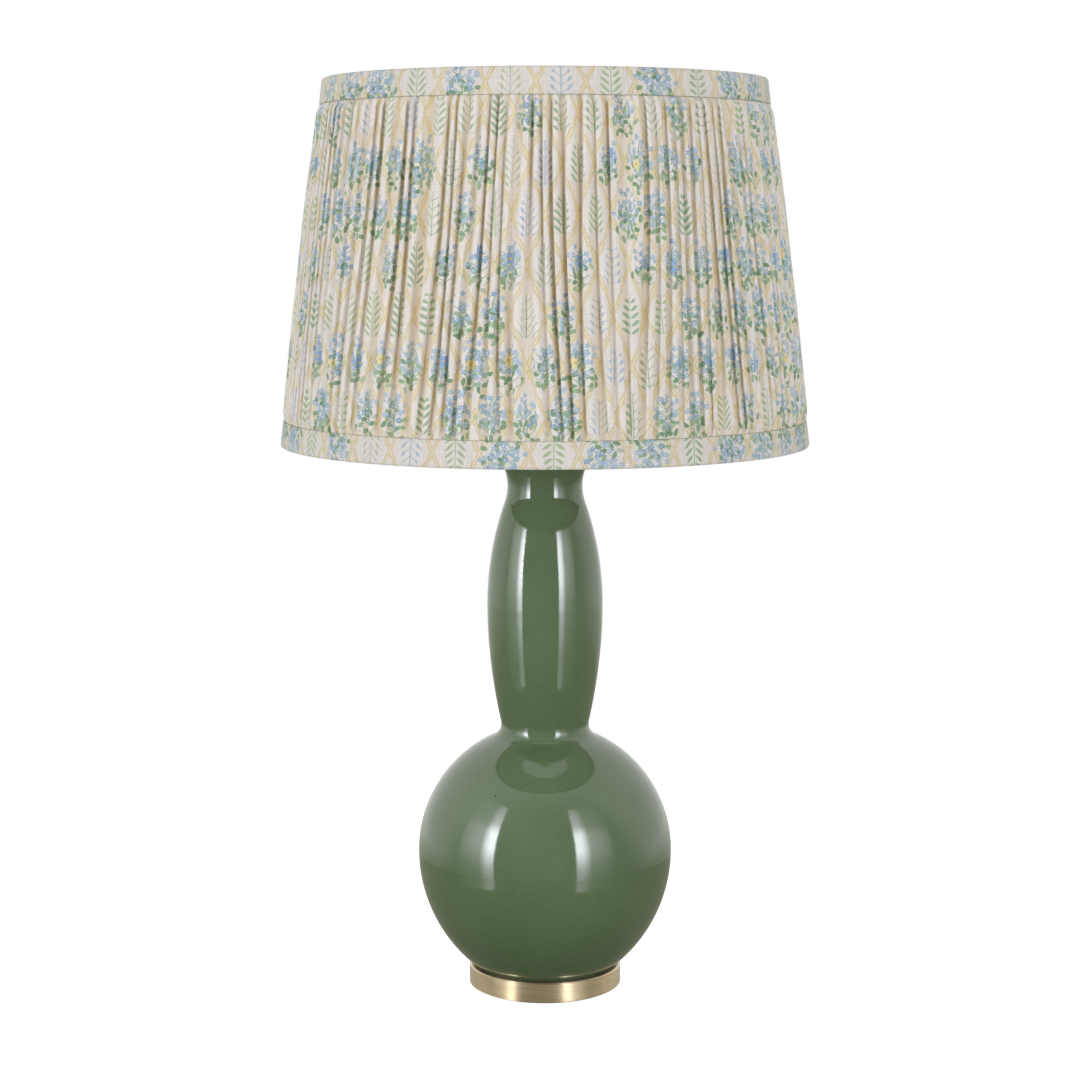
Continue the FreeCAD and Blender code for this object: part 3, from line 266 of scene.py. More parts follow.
# %% Laminated paper
lining, tree, shader = new_finish("laminated_paper", Roughness=0.6, Subsurface_Weight=0.1,
                                  Subsurface_Scale=0.002)
spot = add(tree, "TexCoord", {}).outputs["Object"]
fibre = add(tree, "TexNoise", {"Vector": spot, "Scale": every(2.2), "Detail": 6.0,
                               "Distortion": 1.5})
tone = add(tree, "ValToRGB", {"Fac": fibre}, [(0.3, "#f1ede4"), (0.7, "#f8f5ef")])
relief = add(tree, "Bump", {"Height": fibre, "Strength": 0.3, "Distance": 0.05 * MM})
link(tree, shader, {"Base Color": tone, "Normal": relief})
dress(lining, "shade_liner")

# %% [markdown]
# ## The print on the cotton
# The shade is thin cotton with a small flowered print. This print is a plain one of its own: a
# lattice of straight crossing ribbons in ochre, with a loose posy or an airy sprig in each
# diamond. It is drawn with distances, so it stays crisp at any size, and it reads the cloth's
# UV map, which holds where each point lay on the flat cloth. That is why a flower runs into a
# fold and comes out on the other side, as it does on real cloth.

# %% Read the flat cloth in millimetres
REPEAT = (30.0, 60.0)
INK_EDGE = 0.22
cotton, tree, shader = new_finish("printed_cotton", Roughness=0.88, Sheen_Weight=0.12,
                                  Sheen_Roughness=0.5, Specular_IOR_Level=0.2)
flat = add(tree, "UVMap", {}, uv_map="cloth")
cloth = add(tree, "VectorMath", {0: flat, "Scale": 1 / MM}, operation="SCALE")
print("the print repeats every", REPEAT[0], "by", REPEAT[1], "mm")


def in_repeat(place, shift):
    """Where a place is, from the middle of its diamond, and the number of that diamond."""
    wide, tall = REPEAT
    share = add(tree, "VectorMath", {0: place, 1: (1 / wide, 1 / tall, 0),
                                     2: (0.5 + shift, 0.5 + shift, 0)}, operation="MULTIPLY_ADD")
    part = add(tree, "VectorMath", {0: share}, operation="FRACTION")
    local = add(tree, "VectorMath", {0: part, 1: (wide, tall, 0),
                                     2: (-wide / 2, -tall / 2, 0)}, operation="MULTIPLY_ADD")
    number = add(tree, "VectorMath", {0: share}, operation="FLOOR")
    return local, number


def inside(value, edge, soft=INK_EDGE):
    """1 where a distance is under the edge, fading over a soft rim as ink does on cloth."""
    return add(tree, "MapRange", {"Value": value, "From Min": edge - soft, "From Max": edge + soft,
                                  "To Min": 1.0, "To Max": 0.0}, interpolation_type="SMOOTHSTEP")


def sums(*steps):
    """Works out a chain of sums. Each step is its name, the operation and what goes in."""
    known = {}
    for name, operation, *inputs in steps:
        values = {index: known.get(value, value) for index, value in enumerate(inputs)}
        known[name] = add(tree, "Math", values, operation=operation)
    return known


# %% [markdown]
# ### Lattice, sprigs and posies
# Folding a motif about its middle line draws both sides at once, and taking the remainder of
# the height repeats a pair of leaves up the stem. Each diamond has random numbers of its own.
# They choose a posy or a sprig, and change the leaf spacing, slope and height, so that no two
# neighbours are alike and no row of posies reads as a stripe. The small leaves and blossoms
# come from scattered cells: a cell's own middle decides whether it belongs to a posy, so that
# no flower is cut in half, and the angle round it pulls a disc into petals. All sizes here are
# millimetres on the flat cloth.

# %% Lattice ribbon
RIBBON, CORE = 1.3, 0.5
WOBBLE, WOBBLE_LONG = 2.8, 5
PER_REPEAT = round(REPEAT[0] * REPEAT[1] / math.hypot(*REPEAT), 1)
right, up, _ = add(tree, "SeparateXYZ", {0: in_repeat(cloth, 0.0)[0]}).outputs
shake = add(tree, "TexNoise", {"Vector": cloth, "Scale": 1 / WOBBLE_LONG, "Detail": 2.0})
across = sums(
    ("x", "ABSOLUTE", right), ("y", "ABSOLUTE", up),
    ("far", "MULTIPLY", "x", 1 / REPEAT[0]), ("high", "MULTIPLY_ADD", "y", 1 / REPEAT[1], "far"),
    ("off", "SUBTRACT", "high", 0.5), ("away", "MULTIPLY", "off", PER_REPEAT),
    ("shaken", "MULTIPLY_ADD", shake, WOBBLE, "away"), ("line", "SUBTRACT", "shaken", WOBBLE / 2),
    ("across", "ABSOLUTE", "line"))["across"]
ribbon, core = inside(across, RIBBON, 0.4), inside(across, CORE, 0.3)
print("the ribbon is", 2 * RIBBON, "mm wide")

# %% An airy sprig
LEAF_GAP, LEAF_OUT, BERRY_OUT = 3.4, 3.9, 5.0
BERRY, TWIG, STALK = 1.25, 0.3, 0.35
SPRIG_HIGH, SPRIG_WIDE = 10.5, 7.2
FRUITING = 0.8


def airy_sprig(right, up, luck, habit):
    """A stalk with pairs of pointed leaves, or in one diamond of five, of twigs with berries."""
    gap, slope, tall = habit.outputs
    shape = sums(
        ("x", "ABSOLUTE", right), ("y", "ABSOLUTE", up),
        ("step", "MULTIPLY_ADD", gap, 1.8, LEAF_GAP), ("half", "MULTIPLY", "step", 0.5),
        ("slope", "MULTIPLY_ADD", slope, -0.8, -0.35), ("rise", "MULTIPLY_ADD", "x", "slope", up),
        ("pair", "FLOORED_MODULO", "rise", "step"),
        ("from_leaf", "SUBTRACT", "pair", "half"), ("across", "ABSOLUTE", "from_leaf"),
        ("along", "SUBTRACT", "x", LEAF_OUT), ("run", "ABSOLUTE", "along"),
        ("taper", "MULTIPLY", "run", 0.34), ("blade", "MULTIPLY_ADD", "taper", "taper", "across"),
        ("thick", "MULTIPLY", "step", 0.27), ("leaf", "SUBTRACT", "blade", "thick"),
        ("end", "SUBTRACT", "x", BERRY_OUT), ("end_square", "MULTIPLY", "end", "end"),
        ("dot_square", "MULTIPLY_ADD", "across", "across", "end_square"),
        ("dot", "SQRT", "dot_square"), ("berry", "SUBTRACT", "dot", BERRY),
        ("twig", "SUBTRACT", "across", TWIG), ("fruit", "MINIMUM", "berry", "twig"),
        ("change", "SUBTRACT", "fruit", "leaf"), ("fruiting", "GREATER_THAN", luck, FRUITING),
        ("outline", "MULTIPLY_ADD", "change", "fruiting", "leaf"),
        ("tall", "MULTIPLY_ADD", tall, 3.5, SPRIG_HIGH), ("top", "SUBTRACT", "y", "tall"),
        ("reach", "MULTIPLY_ADD", up, 0.3, "x"))
    return sums(
        ("leaf", "MULTIPLY", inside(shape["outline"], 0.0), inside(shape["reach"], SPRIG_WIDE, 0.8)),
        ("both", "MAXIMUM", inside(shape["x"], STALK), "leaf"),
        ("whole", "MULTIPLY", "both", inside(shape["top"], 0.0, 0.8)))["whole"]


# %% The stems of a posy
BRANCH_GAP, BRANCH_WIDE, BRANCH_HIGH, STEM_HIGH = 4.6, 8.0, 10.0, 13.0


def posy_stems(right, up):
    """A swaying stem with short branches that slope up from it."""
    shape = sums(
        ("x", "ABSOLUTE", right), ("bend", "MULTIPLY", up, 0.3), ("sway", "SINE", "bend"),
        ("lean", "MULTIPLY_ADD", "sway", 0.9, right), ("stem", "ABSOLUTE", "lean"),
        ("sloping", "MULTIPLY_ADD", "x", -0.75, up),
        ("pairs", "FLOORED_MODULO", "sloping", BRANCH_GAP),
        ("from_branch", "SUBTRACT", "pairs", BRANCH_GAP / 2), ("branch", "ABSOLUTE", "from_branch"),
        ("middle", "ADD", up, 2.0), ("height", "ABSOLUTE", "middle"))
    return sums(
        ("stem", "MULTIPLY", inside(shape["stem"], STALK), inside(shape["height"], STEM_HIGH, 1.0)),
        ("long", "MULTIPLY", inside(shape["branch"], TWIG), inside(shape["height"], BRANCH_HIGH, 1.0)),
        ("branch", "MULTIPLY", "long", inside(shape["x"], BRANCH_WIDE, 1.0)),
        ("both", "MAXIMUM", "stem", "branch"))["both"]


# %% Two rows of diamonds
# Each row's shift in repeats, and the share of its diamonds that holds a posy
ROWS = ((0.0, 0.72), (0.5, 0.55))


def diamonds(shift, share):
    """The line work of a row and its random numbers. That share of its diamonds holds a posy."""
    local, number = in_repeat(cloth, shift)
    right, up, _ = add(tree, "SeparateXYZ", {0: local}).outputs
    luck = add(tree, "TexWhiteNoise", {"Vector": number}, noise_dimensions="2D")
    habit = add(tree, "SeparateColor", {0: luck.outputs["Color"]})
    masks = sums(
        ("posy", "LESS_THAN", luck, share), ("airy", "SUBTRACT", 1.0, "posy"),
        ("sprig", "MULTIPLY", airy_sprig(right, up, luck, habit), "airy"),
        ("stems", "MULTIPLY", posy_stems(right, up), "posy"))
    pale = add(tree, "ValToRGB", {"Fac": luck}, [
        (0.0, "#a5b791"), (0.65, "#97ae8c"), (0.76, "#b1bd9c"), (0.83, "#a3b3c2"), (0.93, "#97ae8c")])
    pale.color_ramp.interpolation = "CONSTANT"
    return {"local": local, "luck": luck, "habit": habit, "pale": pale, **masks}


first_row, second_row = (diamonds(*row) for row in ROWS)
print("posies fill", [share for shift, share in ROWS], "of the diamonds in the two rows")

# %% Scattered leaves and blossoms
RAGGED, SMALLER, POSY_EDGE = 0.45, 0.55, 1.25
LEAF_WIDE, LEAF_LONG = 1.35, 2.5
BLOSSOM, EYE = 1.5, 0.35
FULL_TURN = 6.3


def in_posy(middle, kind, centre, spread, shift, share):
    """1 where a cell's middle is inside the ragged egg of a posy of that row."""
    place, number = in_repeat(middle, shift)
    luck = add(tree, "TexWhiteNoise", {"Vector": number}, noise_dimensions="2D")
    egg = add(tree, "VectorMath", {0: place, 1: (1 / spread[0], 1 / spread[1], 0),
                                   2: (0, -centre / spread[1], 0)}, operation="MULTIPLY_ADD")
    reach = add(tree, "VectorMath", {0: egg}, operation="LENGTH").outputs["Value"]
    edge = sums(("ragged", "MULTIPLY_ADD", kind.outputs["Blue"], RAGGED, reach),
                ("smaller", "MULTIPLY_ADD", luck, SMALLER, "ragged"))["smaller"]
    return sums(("given", "LESS_THAN", luck, share),
                ("mask", "MULTIPLY", inside(edge, POSY_EDGE, 0.05), "given"))["mask"]


def scattered(size, seed, centre, spread):
    """Cells of a size: each place from its cell's middle, the cell's numbers and the posy mask."""
    moved = add(tree, "VectorMath", {0: cloth, 1: (1 / size, 1 / size, 0), 2: (seed, seed, 0)},
                operation="MULTIPLY_ADD")
    cell = add(tree, "TexVoronoi", {"Vector": moved, "Scale": 1.0, "Randomness": 0.9},
               voronoi_dimensions="2D")
    centre_of_cell = cell.outputs["Position"]
    offset = add(tree, "VectorMath", {0: moved, 1: centre_of_cell}, operation="SUBTRACT")
    away = add(tree, "VectorMath", {0: offset, "Scale": size}, operation="SCALE")
    middle = add(tree, "VectorMath", {0: centre_of_cell, 1: (size, size, 0),
                                      2: (-seed * size, -seed * size, 0)}, operation="MULTIPLY_ADD")
    kind = add(tree, "SeparateColor", {0: cell.outputs["Color"]})
    first, second = (in_posy(middle, kind, centre, spread, *row) for row in ROWS)
    return away, kind, sums(("mask", "MAXIMUM", first, second))["mask"]


def petals(place, lobes, depth, twist):
    """Distance from a flower's middle, pulled in and out by its petals, and the plain distance."""
    right, up, _ = add(tree, "SeparateXYZ", {0: place}).outputs
    plain = add(tree, "VectorMath", {0: place}, operation="LENGTH").outputs["Value"]
    edge = sums(("round", "ARCTAN2", up, right),
                ("lobes", "MULTIPLY_ADD", "round", lobes, twist), ("lobe", "COSINE", "lobes"),
                ("edge", "MULTIPLY_ADD", "lobe", -depth, plain))["edge"]
    return edge, plain


leaf_place, leaf_kind, leaf_mask = scattered(
    size=4.5, seed=7.3, centre=-5.0, spread=(13.8, 12.5))
angle = sums(("turn", "MULTIPLY", leaf_kind.outputs["Red"], FULL_TURN))["turn"]
turned = add(tree, "VectorRotate", {"Vector": leaf_place, "Angle": angle}, rotation_type="Z_AXIS")
oval = add(tree, "VectorMath", {0: turned, 1: (1 / LEAF_WIDE, 1 / LEAF_LONG, 0)},
           operation="MULTIPLY")
leaf = add(tree, "VectorMath", {0: oval}, operation="LENGTH").outputs["Value"]
leaves = sums(("leaf", "MULTIPLY", inside(leaf, 1.0, 0.15), leaf_mask))["leaf"]
bloom_place, bloom_kind, bloom_mask = scattered(
    size=4.0, seed=2.1, centre=3.5, spread=(13.0, 12.5))
bloom, from_eye = petals(bloom_place, lobes=5.0, depth=0.4, twist=bloom_kind.outputs["Red"])
blossoms = sums(("flower", "MULTIPLY", inside(bloom, BLOSSOM), bloom_mask))["flower"]
eyes = sums(("eye", "MULTIPLY", inside(from_eye, EYE, 0.2), bloom_mask))["eye"]
print("leaves are", 2 * LEAF_LONG, "mm long, and blossoms", 2 * BLOSSOM, "mm across")

# %% One rosette in some posies
ROSETTE, HEART, WITH_ROSETTE = 3.2, 1.0, 0.55
aside, above, lucky = first_row["habit"].outputs
where = sums(("aside", "MULTIPLY_ADD", aside, 10.0, -5.0),
             ("above", "MULTIPLY_ADD", above, 8.0, -2.0),
             ("lucky", "LESS_THAN", lucky, WITH_ROSETTE),
             ("given", "MULTIPLY", "lucky", first_row["posy"]))
spot = add(tree, "CombineXYZ", {0: where["aside"], 1: where["above"]})
from_rosette = add(tree, "VectorMath", {0: first_row["local"], 1: spot}, operation="SUBTRACT")
rose, from_heart = petals(from_rosette, lobes=6.0, depth=0.7, twist=lucky)
rosettes = sums(("rose", "MULTIPLY", inside(rose, ROSETTE), where["given"]))["rose"]
hearts = sums(("heart", "MULTIPLY", inside(from_heart, HEART), where["given"]))["heart"]
print("a rosette is", 2 * ROSETTE, "mm across")

# %% [markdown]
# ### Ink on cotton
# The inks go on one over another, from the ground up: lattice, sprigs, stems, leaves, blossoms
# and their eyes, and last the rosettes. A blossom's own number and that of its diamond choose
# its blue or yellow together, so that each posy leans to one tone, as a printed field of mixed
# flowers does.

# %% Inks
OWN_TONE = 0.45
tone = sums(("both", "MULTIPLY_ADD", bloom_kind.outputs["Green"], OWN_TONE, first_row["luck"]),
            ("even", "MULTIPLY", "both", round(1 / (1 + OWN_TONE), 2)))["even"]
blue = add(tree, "ValToRGB", {"Fac": tone}, [
    (0.0, "#8ba9c2"), (0.22, "#a0b3c8"), (0.42, "#97b2c4"), (0.6, "#839fc0"), (0.8, "#aebecd"),
    (0.93, "#d6cc96")])
green = add(tree, "ValToRGB", {"Fac": leaf_kind.outputs["Green"]}, [
    (0.0, "#819d7c"), (0.3, "#91aa88"), (0.6, "#759374"), (0.85, "#a6b58e")])
rosy = add(tree, "ValToRGB", {"Fac": first_row["habit"].outputs["Red"]}, [
    (0.0, "#d8cd96"), (0.35, "#88a5c8"), (0.7, "#a3b6d0")])
for ramp in (blue, green, rosy):
    ramp.color_ramp.interpolation = "CONSTANT"
picture = "#d6d1c8"
for ink, mask in (
        ("#cabc93", ribbon), ("#d7cdad", core),
        (first_row["pale"], first_row["sprig"]), (second_row["pale"], second_row["sprig"]),
        ("#8ca387", first_row["stems"]), ("#8ca387", second_row["stems"]),
        (green, leaves), (blue, blossoms), ("#dcd2a2", eyes), (rosy, rosettes), ("#c2b27c", hearts)):
    picture = add(tree, "Mix", {FACTOR: mask, UNDER: picture, OVER: ink}, **COVERS)

# %% [markdown]
# ### Threads, and painted shade in folds and bands
# Fine slubs run up the cloth and across it, drawn coarser than real ones so that they show.
# They tint the ground and raise it a little. The hollows of the folds get a painted shade: an
# attribute that says how deep in a fold a point lies darkens the colour there and warms it, to
# stand for light bounced between the two walls of a fold. The bands get a painted shade too, a
# little darker, for the light that doubled cloth keeps from coming through, and a second attribute
# carries it. The mesh carries both, so they stay in place in every view.

# %% Threads, and painted shade in the hollows and on the bands
WARP_WIDE, WARP_LONG, WEFT_WIDE, WEFT_LONG = 0.7, 26, 0.6, 14
warp = add(tree, "Mapping", {"Vector": cloth, "Scale": (1 / WARP_WIDE, 1 / WARP_LONG, 1.0)})
slub = add(tree, "TexNoise", {"Vector": warp, "Scale": 1.0, "Detail": 2.0})
weft = add(tree, "Mapping", {"Vector": cloth, "Scale": (1 / WEFT_LONG, 1 / WEFT_WIDE, 1.0)})
pick = add(tree, "TexNoise", {"Vector": weft, "Scale": 1.0, "Detail": 1.0})
weave = sums(("both", "MULTIPLY_ADD", pick, 0.5, slub))["both"]
thread = add(tree, "ValToRGB", {"Fac": weave}, [(0.55, "#eeebe8"), (0.95, "#ffffff")])
woven = add(tree, "Mix", {FACTOR: 1.0, UNDER: picture, OVER: thread}, **TINTS)
hollow = add(tree, "Attribute", {}, attribute_name="hollow").outputs["Fac"]
# Painted shade: the deeper in a fold, the darker and warmer the colour
painted_fold_shade = add(tree, "ValToRGB", {"Fac": hollow}, [(0.3, "#ffffff"), (0.95, "#f5e9d3")])
folded = add(tree, "Mix", {FACTOR: 1.0, UNDER: woven, OVER: painted_fold_shade}, **TINTS)
# The bands' painted shade: their colour is mixed a little towards black
band_shade = add(tree, "Attribute", {}, attribute_name="band_shade").outputs["Fac"]
shaded = add(tree, "Mix", {FACTOR: band_shade, UNDER: folded, OVER: "#000000"}, **COVERS)
relief = add(tree, "Bump", {"Height": weave, "Strength": 0.5, "Distance": 0.12 * MM})
link(tree, shader, {"Base Color": shaded, "Normal": relief})
print("the cotton's finish has", len(tree.nodes), "nodes")

# %% [markdown]
# ## The gathered cloth
# A straight strip of cotton, one and a half times as long as the shade is round, is gathered
# with a thread along each edge and spread over the lining. Pulled straight between the two
# bands, it falls in close and shallow folds, with crests a little broader than the valleys. A
# cloth simulation could find folds, but not such even ones. So a fine flat grid is wrapped
# round the lining, and each point is pulled into its fold: the valley goes in towards the
# lining, and slow noise makes folds drift, lean, deepen and flatten as they rise. The grid's two
# ends meet in a seam at the back.

# %% Where the lining and the bands are
END_LOW, END_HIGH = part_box("bottom_trim")[0].z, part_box("top_trim")[1].z
LINING_LOW, LINING_HIGH = 172.9 * MM, 142.9 * MM
BAND = 17.0 * MM
SEAM = math.pi / 2
print("the shade is", round((END_HIGH - END_LOW) / MM, 1), "mm high between its rims")


def lining_radius(height):
    """The outside of the lining at a height."""
    return LINING_LOW + (LINING_HIGH - LINING_LOW) * (height - END_LOW) / (END_HIGH - END_LOW)


def on_shade(turn, radius, height):
    """The place at an angle round the shade, a distance from its axis and a height."""
    return Vector((radius * math.cos(turn), radius * math.sin(turn), height))


def ease(value, start, end):
    """0 before the start, 1 after the end and smooth between them."""
    share = min(max((value - start) / (end - start), 0.0), 1.0)
    return share * share * (3 - 2 * share)


def ripple(turn, size, height, step, seed):
    """Noise that closes on itself round the shade."""
    return noise.noise(Vector((size * math.cos(turn), size * math.sin(turn), height / step + seed)))


# %% Wrap a flat cloth round the shade


def finished(name, mesh, smooth=False):
    """Turns a bmesh into a piece that sits at the origin."""
    data = bpy.data.meshes.new(name)
    mesh.to_mesh(data)
    mesh.free()
    if smooth:
        data.polygons.foreach_set("use_smooth", [True] * len(data.polygons))
    piece = bpy.data.objects.new(name, data)
    bpy.context.scene.collection.objects.link(piece)
    return piece


def wrap_cloth(name, columns, rows, flat_wide, rise, place, cut=0.0):
    """A flat grid of cloth, bent round the shade, with its flat place kept in its UV map."""
    mesh = bmesh.new()
    uv = mesh.loops.layers.uv.new("cloth")
    bmesh.ops.create_grid(mesh, x_segments=columns, y_segments=rows, size=0.5)
    for face in mesh.faces:
        for loop in face.loops:
            spot = loop.vert.co
            loop[uv].uv = ((spot.x + 0.5) * flat_wide, rise(spot.y + 0.5) + cut)
    for vert in mesh.verts:
        vert.co = place(vert.co.x + 0.5, rise(vert.co.y + 0.5))
    bmesh.ops.remove_doubles(mesh, verts=mesh.verts, dist=1e-6)
    bmesh.ops.recalc_face_normals(mesh, faces=mesh.faces)
    face = max(mesh.faces, key=lambda item: item.calc_center_median().xy.length)
    if face.normal.xy.dot(face.calc_center_median().xy) < 0:
        bmesh.ops.reverse_faces(mesh, faces=mesh.faces)
    return finished(name, mesh, smooth=True)


def mark(piece, name, values):
    """Writes a number at each point of a piece, for its finish to read."""
    piece.data.attributes.new(name, "FLOAT", "POINT").data.foreach_set("value", values)


# %% Pull the grid into folds
TUCK = 0.7 * MM
CLOTH_LOW, CLOTH_HIGH = END_LOW + TUCK, END_HIGH - TUCK
FLAT_WIDE = 1.50
FOLDS, GATHERS = 124, 216
PER_FOLD, CLOTH_ROWS = 13, 56
# A fold stands this far out under a band, this much more below it, and more again at mid height
HELD, RELEASED, BILLOW = 1.3 * MM, 1.8 * MM, 1.0 * MM
GOLDEN = 1.618


def cloth_rise(share):
    """Height on the cloth, with the rows closer together near the bands."""
    even = 0.5 - 0.5 * math.cos(math.pi * share)
    return (0.45 * share + 0.55 * even) * (CLOTH_HIGH - CLOTH_LOW)


def crest(height):
    """How far a fold stands out from the lining, and how free of the bands the cloth is there."""
    free = min(height - END_LOW - BAND, END_HIGH - BAND - height)
    loose = ease(free, -1 * MM, 5 * MM)
    return HELD + (RELEASED + BILLOW * ease(free, 0, 60 * MM)) * loose, loose


def gathered(share, up):
    """A point of the gathered cloth, from its share of the way round and its height."""
    height = CLOTH_LOW + up
    turn = SEAM + 2 * math.pi * share
    stand, loose = crest(height)
    # The folds' spacing drifts slowly round the shade and up it
    drift = 1.6 * ripple(turn, 2.2, height, 0.40, 0) + 0.8 * ripple(turn, 9, height, 0.28, 5)
    along = share * FOLDS + drift
    fold = round(along)
    part = along - fold
    # Each fold has a depth and a lean of its own, which change as it rises
    own = fold % FOLDS * GOLDEN
    bold = min(max(0.9 + 0.8 * noise.noise(Vector((own, height / 0.2, 3.0))), 0.65), 1.0)
    lean = loose * (0.3 * noise.noise(Vector((own + 40, height / 0.2, 9.0)))
                    + 0.35 * ripple(turn, 3, height, 0.3, 12))
    valley = (0.5 + 0.5 * math.cos(2 * math.pi * part)) ** 1.4
    # Fine creases run over the folds, and under the bands the small gathers show
    crease = 0.3 * ripple(turn, 62, height, 0.08, 2) + 0.15 * ripple(turn, 125, height, 0.05, 8)
    pinch = 0.5 + 0.5 * math.cos(2 * math.pi * (share * GATHERS + 0.8 * drift))
    out = stand - (stand - 0.4 * MM) * bold * valley + crease * loose * MM
    out -= (1 - loose) * 0.6 * MM * pinch
    shift = lean * valley + 0.07 * loose * math.sin(4 * math.pi * part)
    turn += shift * 2 * math.pi / FOLDS
    return on_shade(turn, lining_radius(height) + max(out, 0.15 * MM), height)


cover = wrap_cloth("gathered_cloth", FOLDS * PER_FOLD, CLOTH_ROWS, FLAT_WIDE, cloth_rise, gathered)
# How deep in a fold each point lies, which the cotton finish turns into painted shade
mark(cover, "hollow", [
    1 - (vert.co.xy.length - lining_radius(vert.co.z)) / crest(vert.co.z)[0]
    for vert in cover.data.vertices])
cover.data.materials.append(cotton)
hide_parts("shade_cover")
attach(cover, "shade")
real = sum(face.area for face in cover.data.polygons) / (CLOTH_HIGH - CLOTH_LOW)
print("gathered_cloth has", len(cover.data.polygons), "faces and takes", round(real, 2), "m of cloth")

# %% [markdown]
# ## The two bands
# At each rim a straight band of the same cotton hides the gathering thread. Its edge is folded
# under, it lies flat on the gathers, goes over the wire ring and ends on the inside. It is
# wrapped from a flat grid as the cloth is, along a path that a maker's needle would follow, and
# then given the thickness of doubled cloth. A flat grid keeps the print straight on it, and the
# band was cut from another height of the print than the cloth behind it.

# %% Fold a band over each rim
# The band's face is outside the lining, and the lining and its wire ring reach inwards
FACE, RING = 2.1 * MM, 4.4 * MM
BAND_COLUMNS, BAND_ROWS = 288, 40
BAND_CUT = 14 * MM
# The doubled cloth's thickness, and the share of painted shade that darkens the bands
DOUBLED, BAND_SHADE_SHARE = 0.35 * MM, 0.09


def band_path():
    """The band from its turned hem to its inner edge, as (out from the lining, away from the rim)."""
    inner = -(RING + 0.5 * MM)
    hem = [(1.35, 9.0), (1.30, 14.0), (1.32, 16.4), (1.50, 16.95), (1.78, 17.0), (2.0, 16.6)]
    path = [(out * MM, away * MM) for out, away in hem]
    path += [(FACE + 0.06 * MM, 15.0 * MM), (FACE + 0.05 * MM, 9.0 * MM), (FACE, 3.0 * MM)]
    for step in range(5):
        angle = math.radians(22.5 * step)
        path.append((FACE - 1.2 * MM * (1 - math.cos(angle)), 1.3 * MM * (1 - math.sin(angle))))
    path += [(-0.4 * RING, 0.0), (inner + 0.9 * MM, 0.0), (inner + 0.2 * MM, 0.4 * MM)]
    path += [(inner, 1.2 * MM), (inner, 4.0 * MM), (inner, 9.0 * MM)]
    return path


def band(name, node, end, sign):
    """One band. The sign takes a height away from the rim, and lengths are kept along the path."""
    path = band_path()
    ways = [0.0]
    for before, after in zip(path, path[1:]):
        ways.append(ways[-1] + math.dist(before, after))

    def place(share, way):
        """A point of the band, from its share of the way round and its way along the path."""
        index = max(i for i in range(len(path) - 1) if ways[i] <= way + 1e-9)
        blend = min((way - ways[index]) / (ways[index + 1] - ways[index]), 1.0)
        out, away = (a + (b - a) * blend for a, b in zip(path[index], path[index + 1]))
        turn = SEAM + 2 * math.pi * share
        height = end - sign * away
        soft = ripple(turn, 9, away, 0.02, end) * 0.16 * MM if out > MM else 0.0
        return on_shade(turn, lining_radius(height) + out + soft, height)

    wide, deep = 2 * math.pi * (lining_radius(end) + FACE), ways[-1]
    piece = wrap_cloth(name, BAND_COLUMNS, BAND_ROWS, wide, lambda share: share * deep, place,
                       BAND_CUT)
    thick = piece.modifiers.new("doubled_cloth", "SOLIDIFY")
    thick.thickness = DOUBLED
    thick.offset = -1.0
    # The band's painted shade, for the cotton finish to read
    mark(piece, "band_shade", [BAND_SHADE_SHARE] * len(piece.data.vertices))
    piece.data.materials.append(cotton)
    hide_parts(node)
    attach(piece, "shade")
    print(name, "is", round(wide, 3), "m long and", round(deep / MM, 1), "mm wide, laid flat")


band("top_band", "top_trim", END_HIGH, 1)
band("bottom_band", "bottom_trim", END_LOW, -1)

# %% [markdown]
# ## The felt under the foot
# The lamp stands on a disc of wool felt. It is a flat disc with a slightly rounded edge, and
# its surface is a tangle of short fibres, so the shader is rough with a strong fine relief.

# %% Wool felt
felt, tree, shader = new_finish("wool_felt", Roughness=0.95, Sheen_Weight=0.3)
spot = add(tree, "TexCoord", {}).outputs["Object"]
tangle = add(tree, "TexNoise", {"Vector": spot, "Scale": every(1.1), "Detail": 6.0,
                                "Distortion": 2.5})
tone = add(tree, "ValToRGB", {"Fac": tangle}, [(0.3, "#26302a"), (0.7, "#3c4a41")])
relief = add(tree, "Bump", {"Height": tangle, "Strength": 0.8, "Distance": 0.2 * MM})
link(tree, shader, {"Base Color": tone, "Normal": relief})

# %% Cut the felt
low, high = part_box("felt_pad")
disc = bmesh.new()
bmesh.ops.create_cone(disc, cap_ends=True, segments=96, radius1=high.x, radius2=high.x,
                      depth=high.z - low.z)
bmesh.ops.translate(disc, verts=disc.verts, vec=(0, 0, (low.z + high.z) / 2))
rims = [edge for edge in disc.edges if abs(edge.verts[0].co.z - edge.verts[1].co.z) < 1e-6]
bmesh.ops.bevel(disc, geom=rims, offset=0.3 * MM, segments=2, profile=0.5, affect="EDGES",
                material=-1)
pad = finished("felt_disc", disc)
pad.data.materials.append(felt)
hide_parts("felt_pad")
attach(pad, "lamp")
print("felt_disc is", round(2 * high.x / MM, 1), "mm across")

# %% [markdown]
# ## Floor, light and camera
# The lamp was photographed in a white room with two tall windows of light, one on each side of
# the camera, which the glaze shows as upright bars. Each bar has a sharp inner edge, a broad
# soft core and a fading outer side. Behind the camera and below the horizon the room is darker,
# so the middle of the body and its underside stay deep. The floor is matt and almost white, and
# keeps a faint shadow, but reflections pass it by, because the glaze shows none of it. The
# camera stands 1.6 m away, at the height of the shade, and looks slightly down.

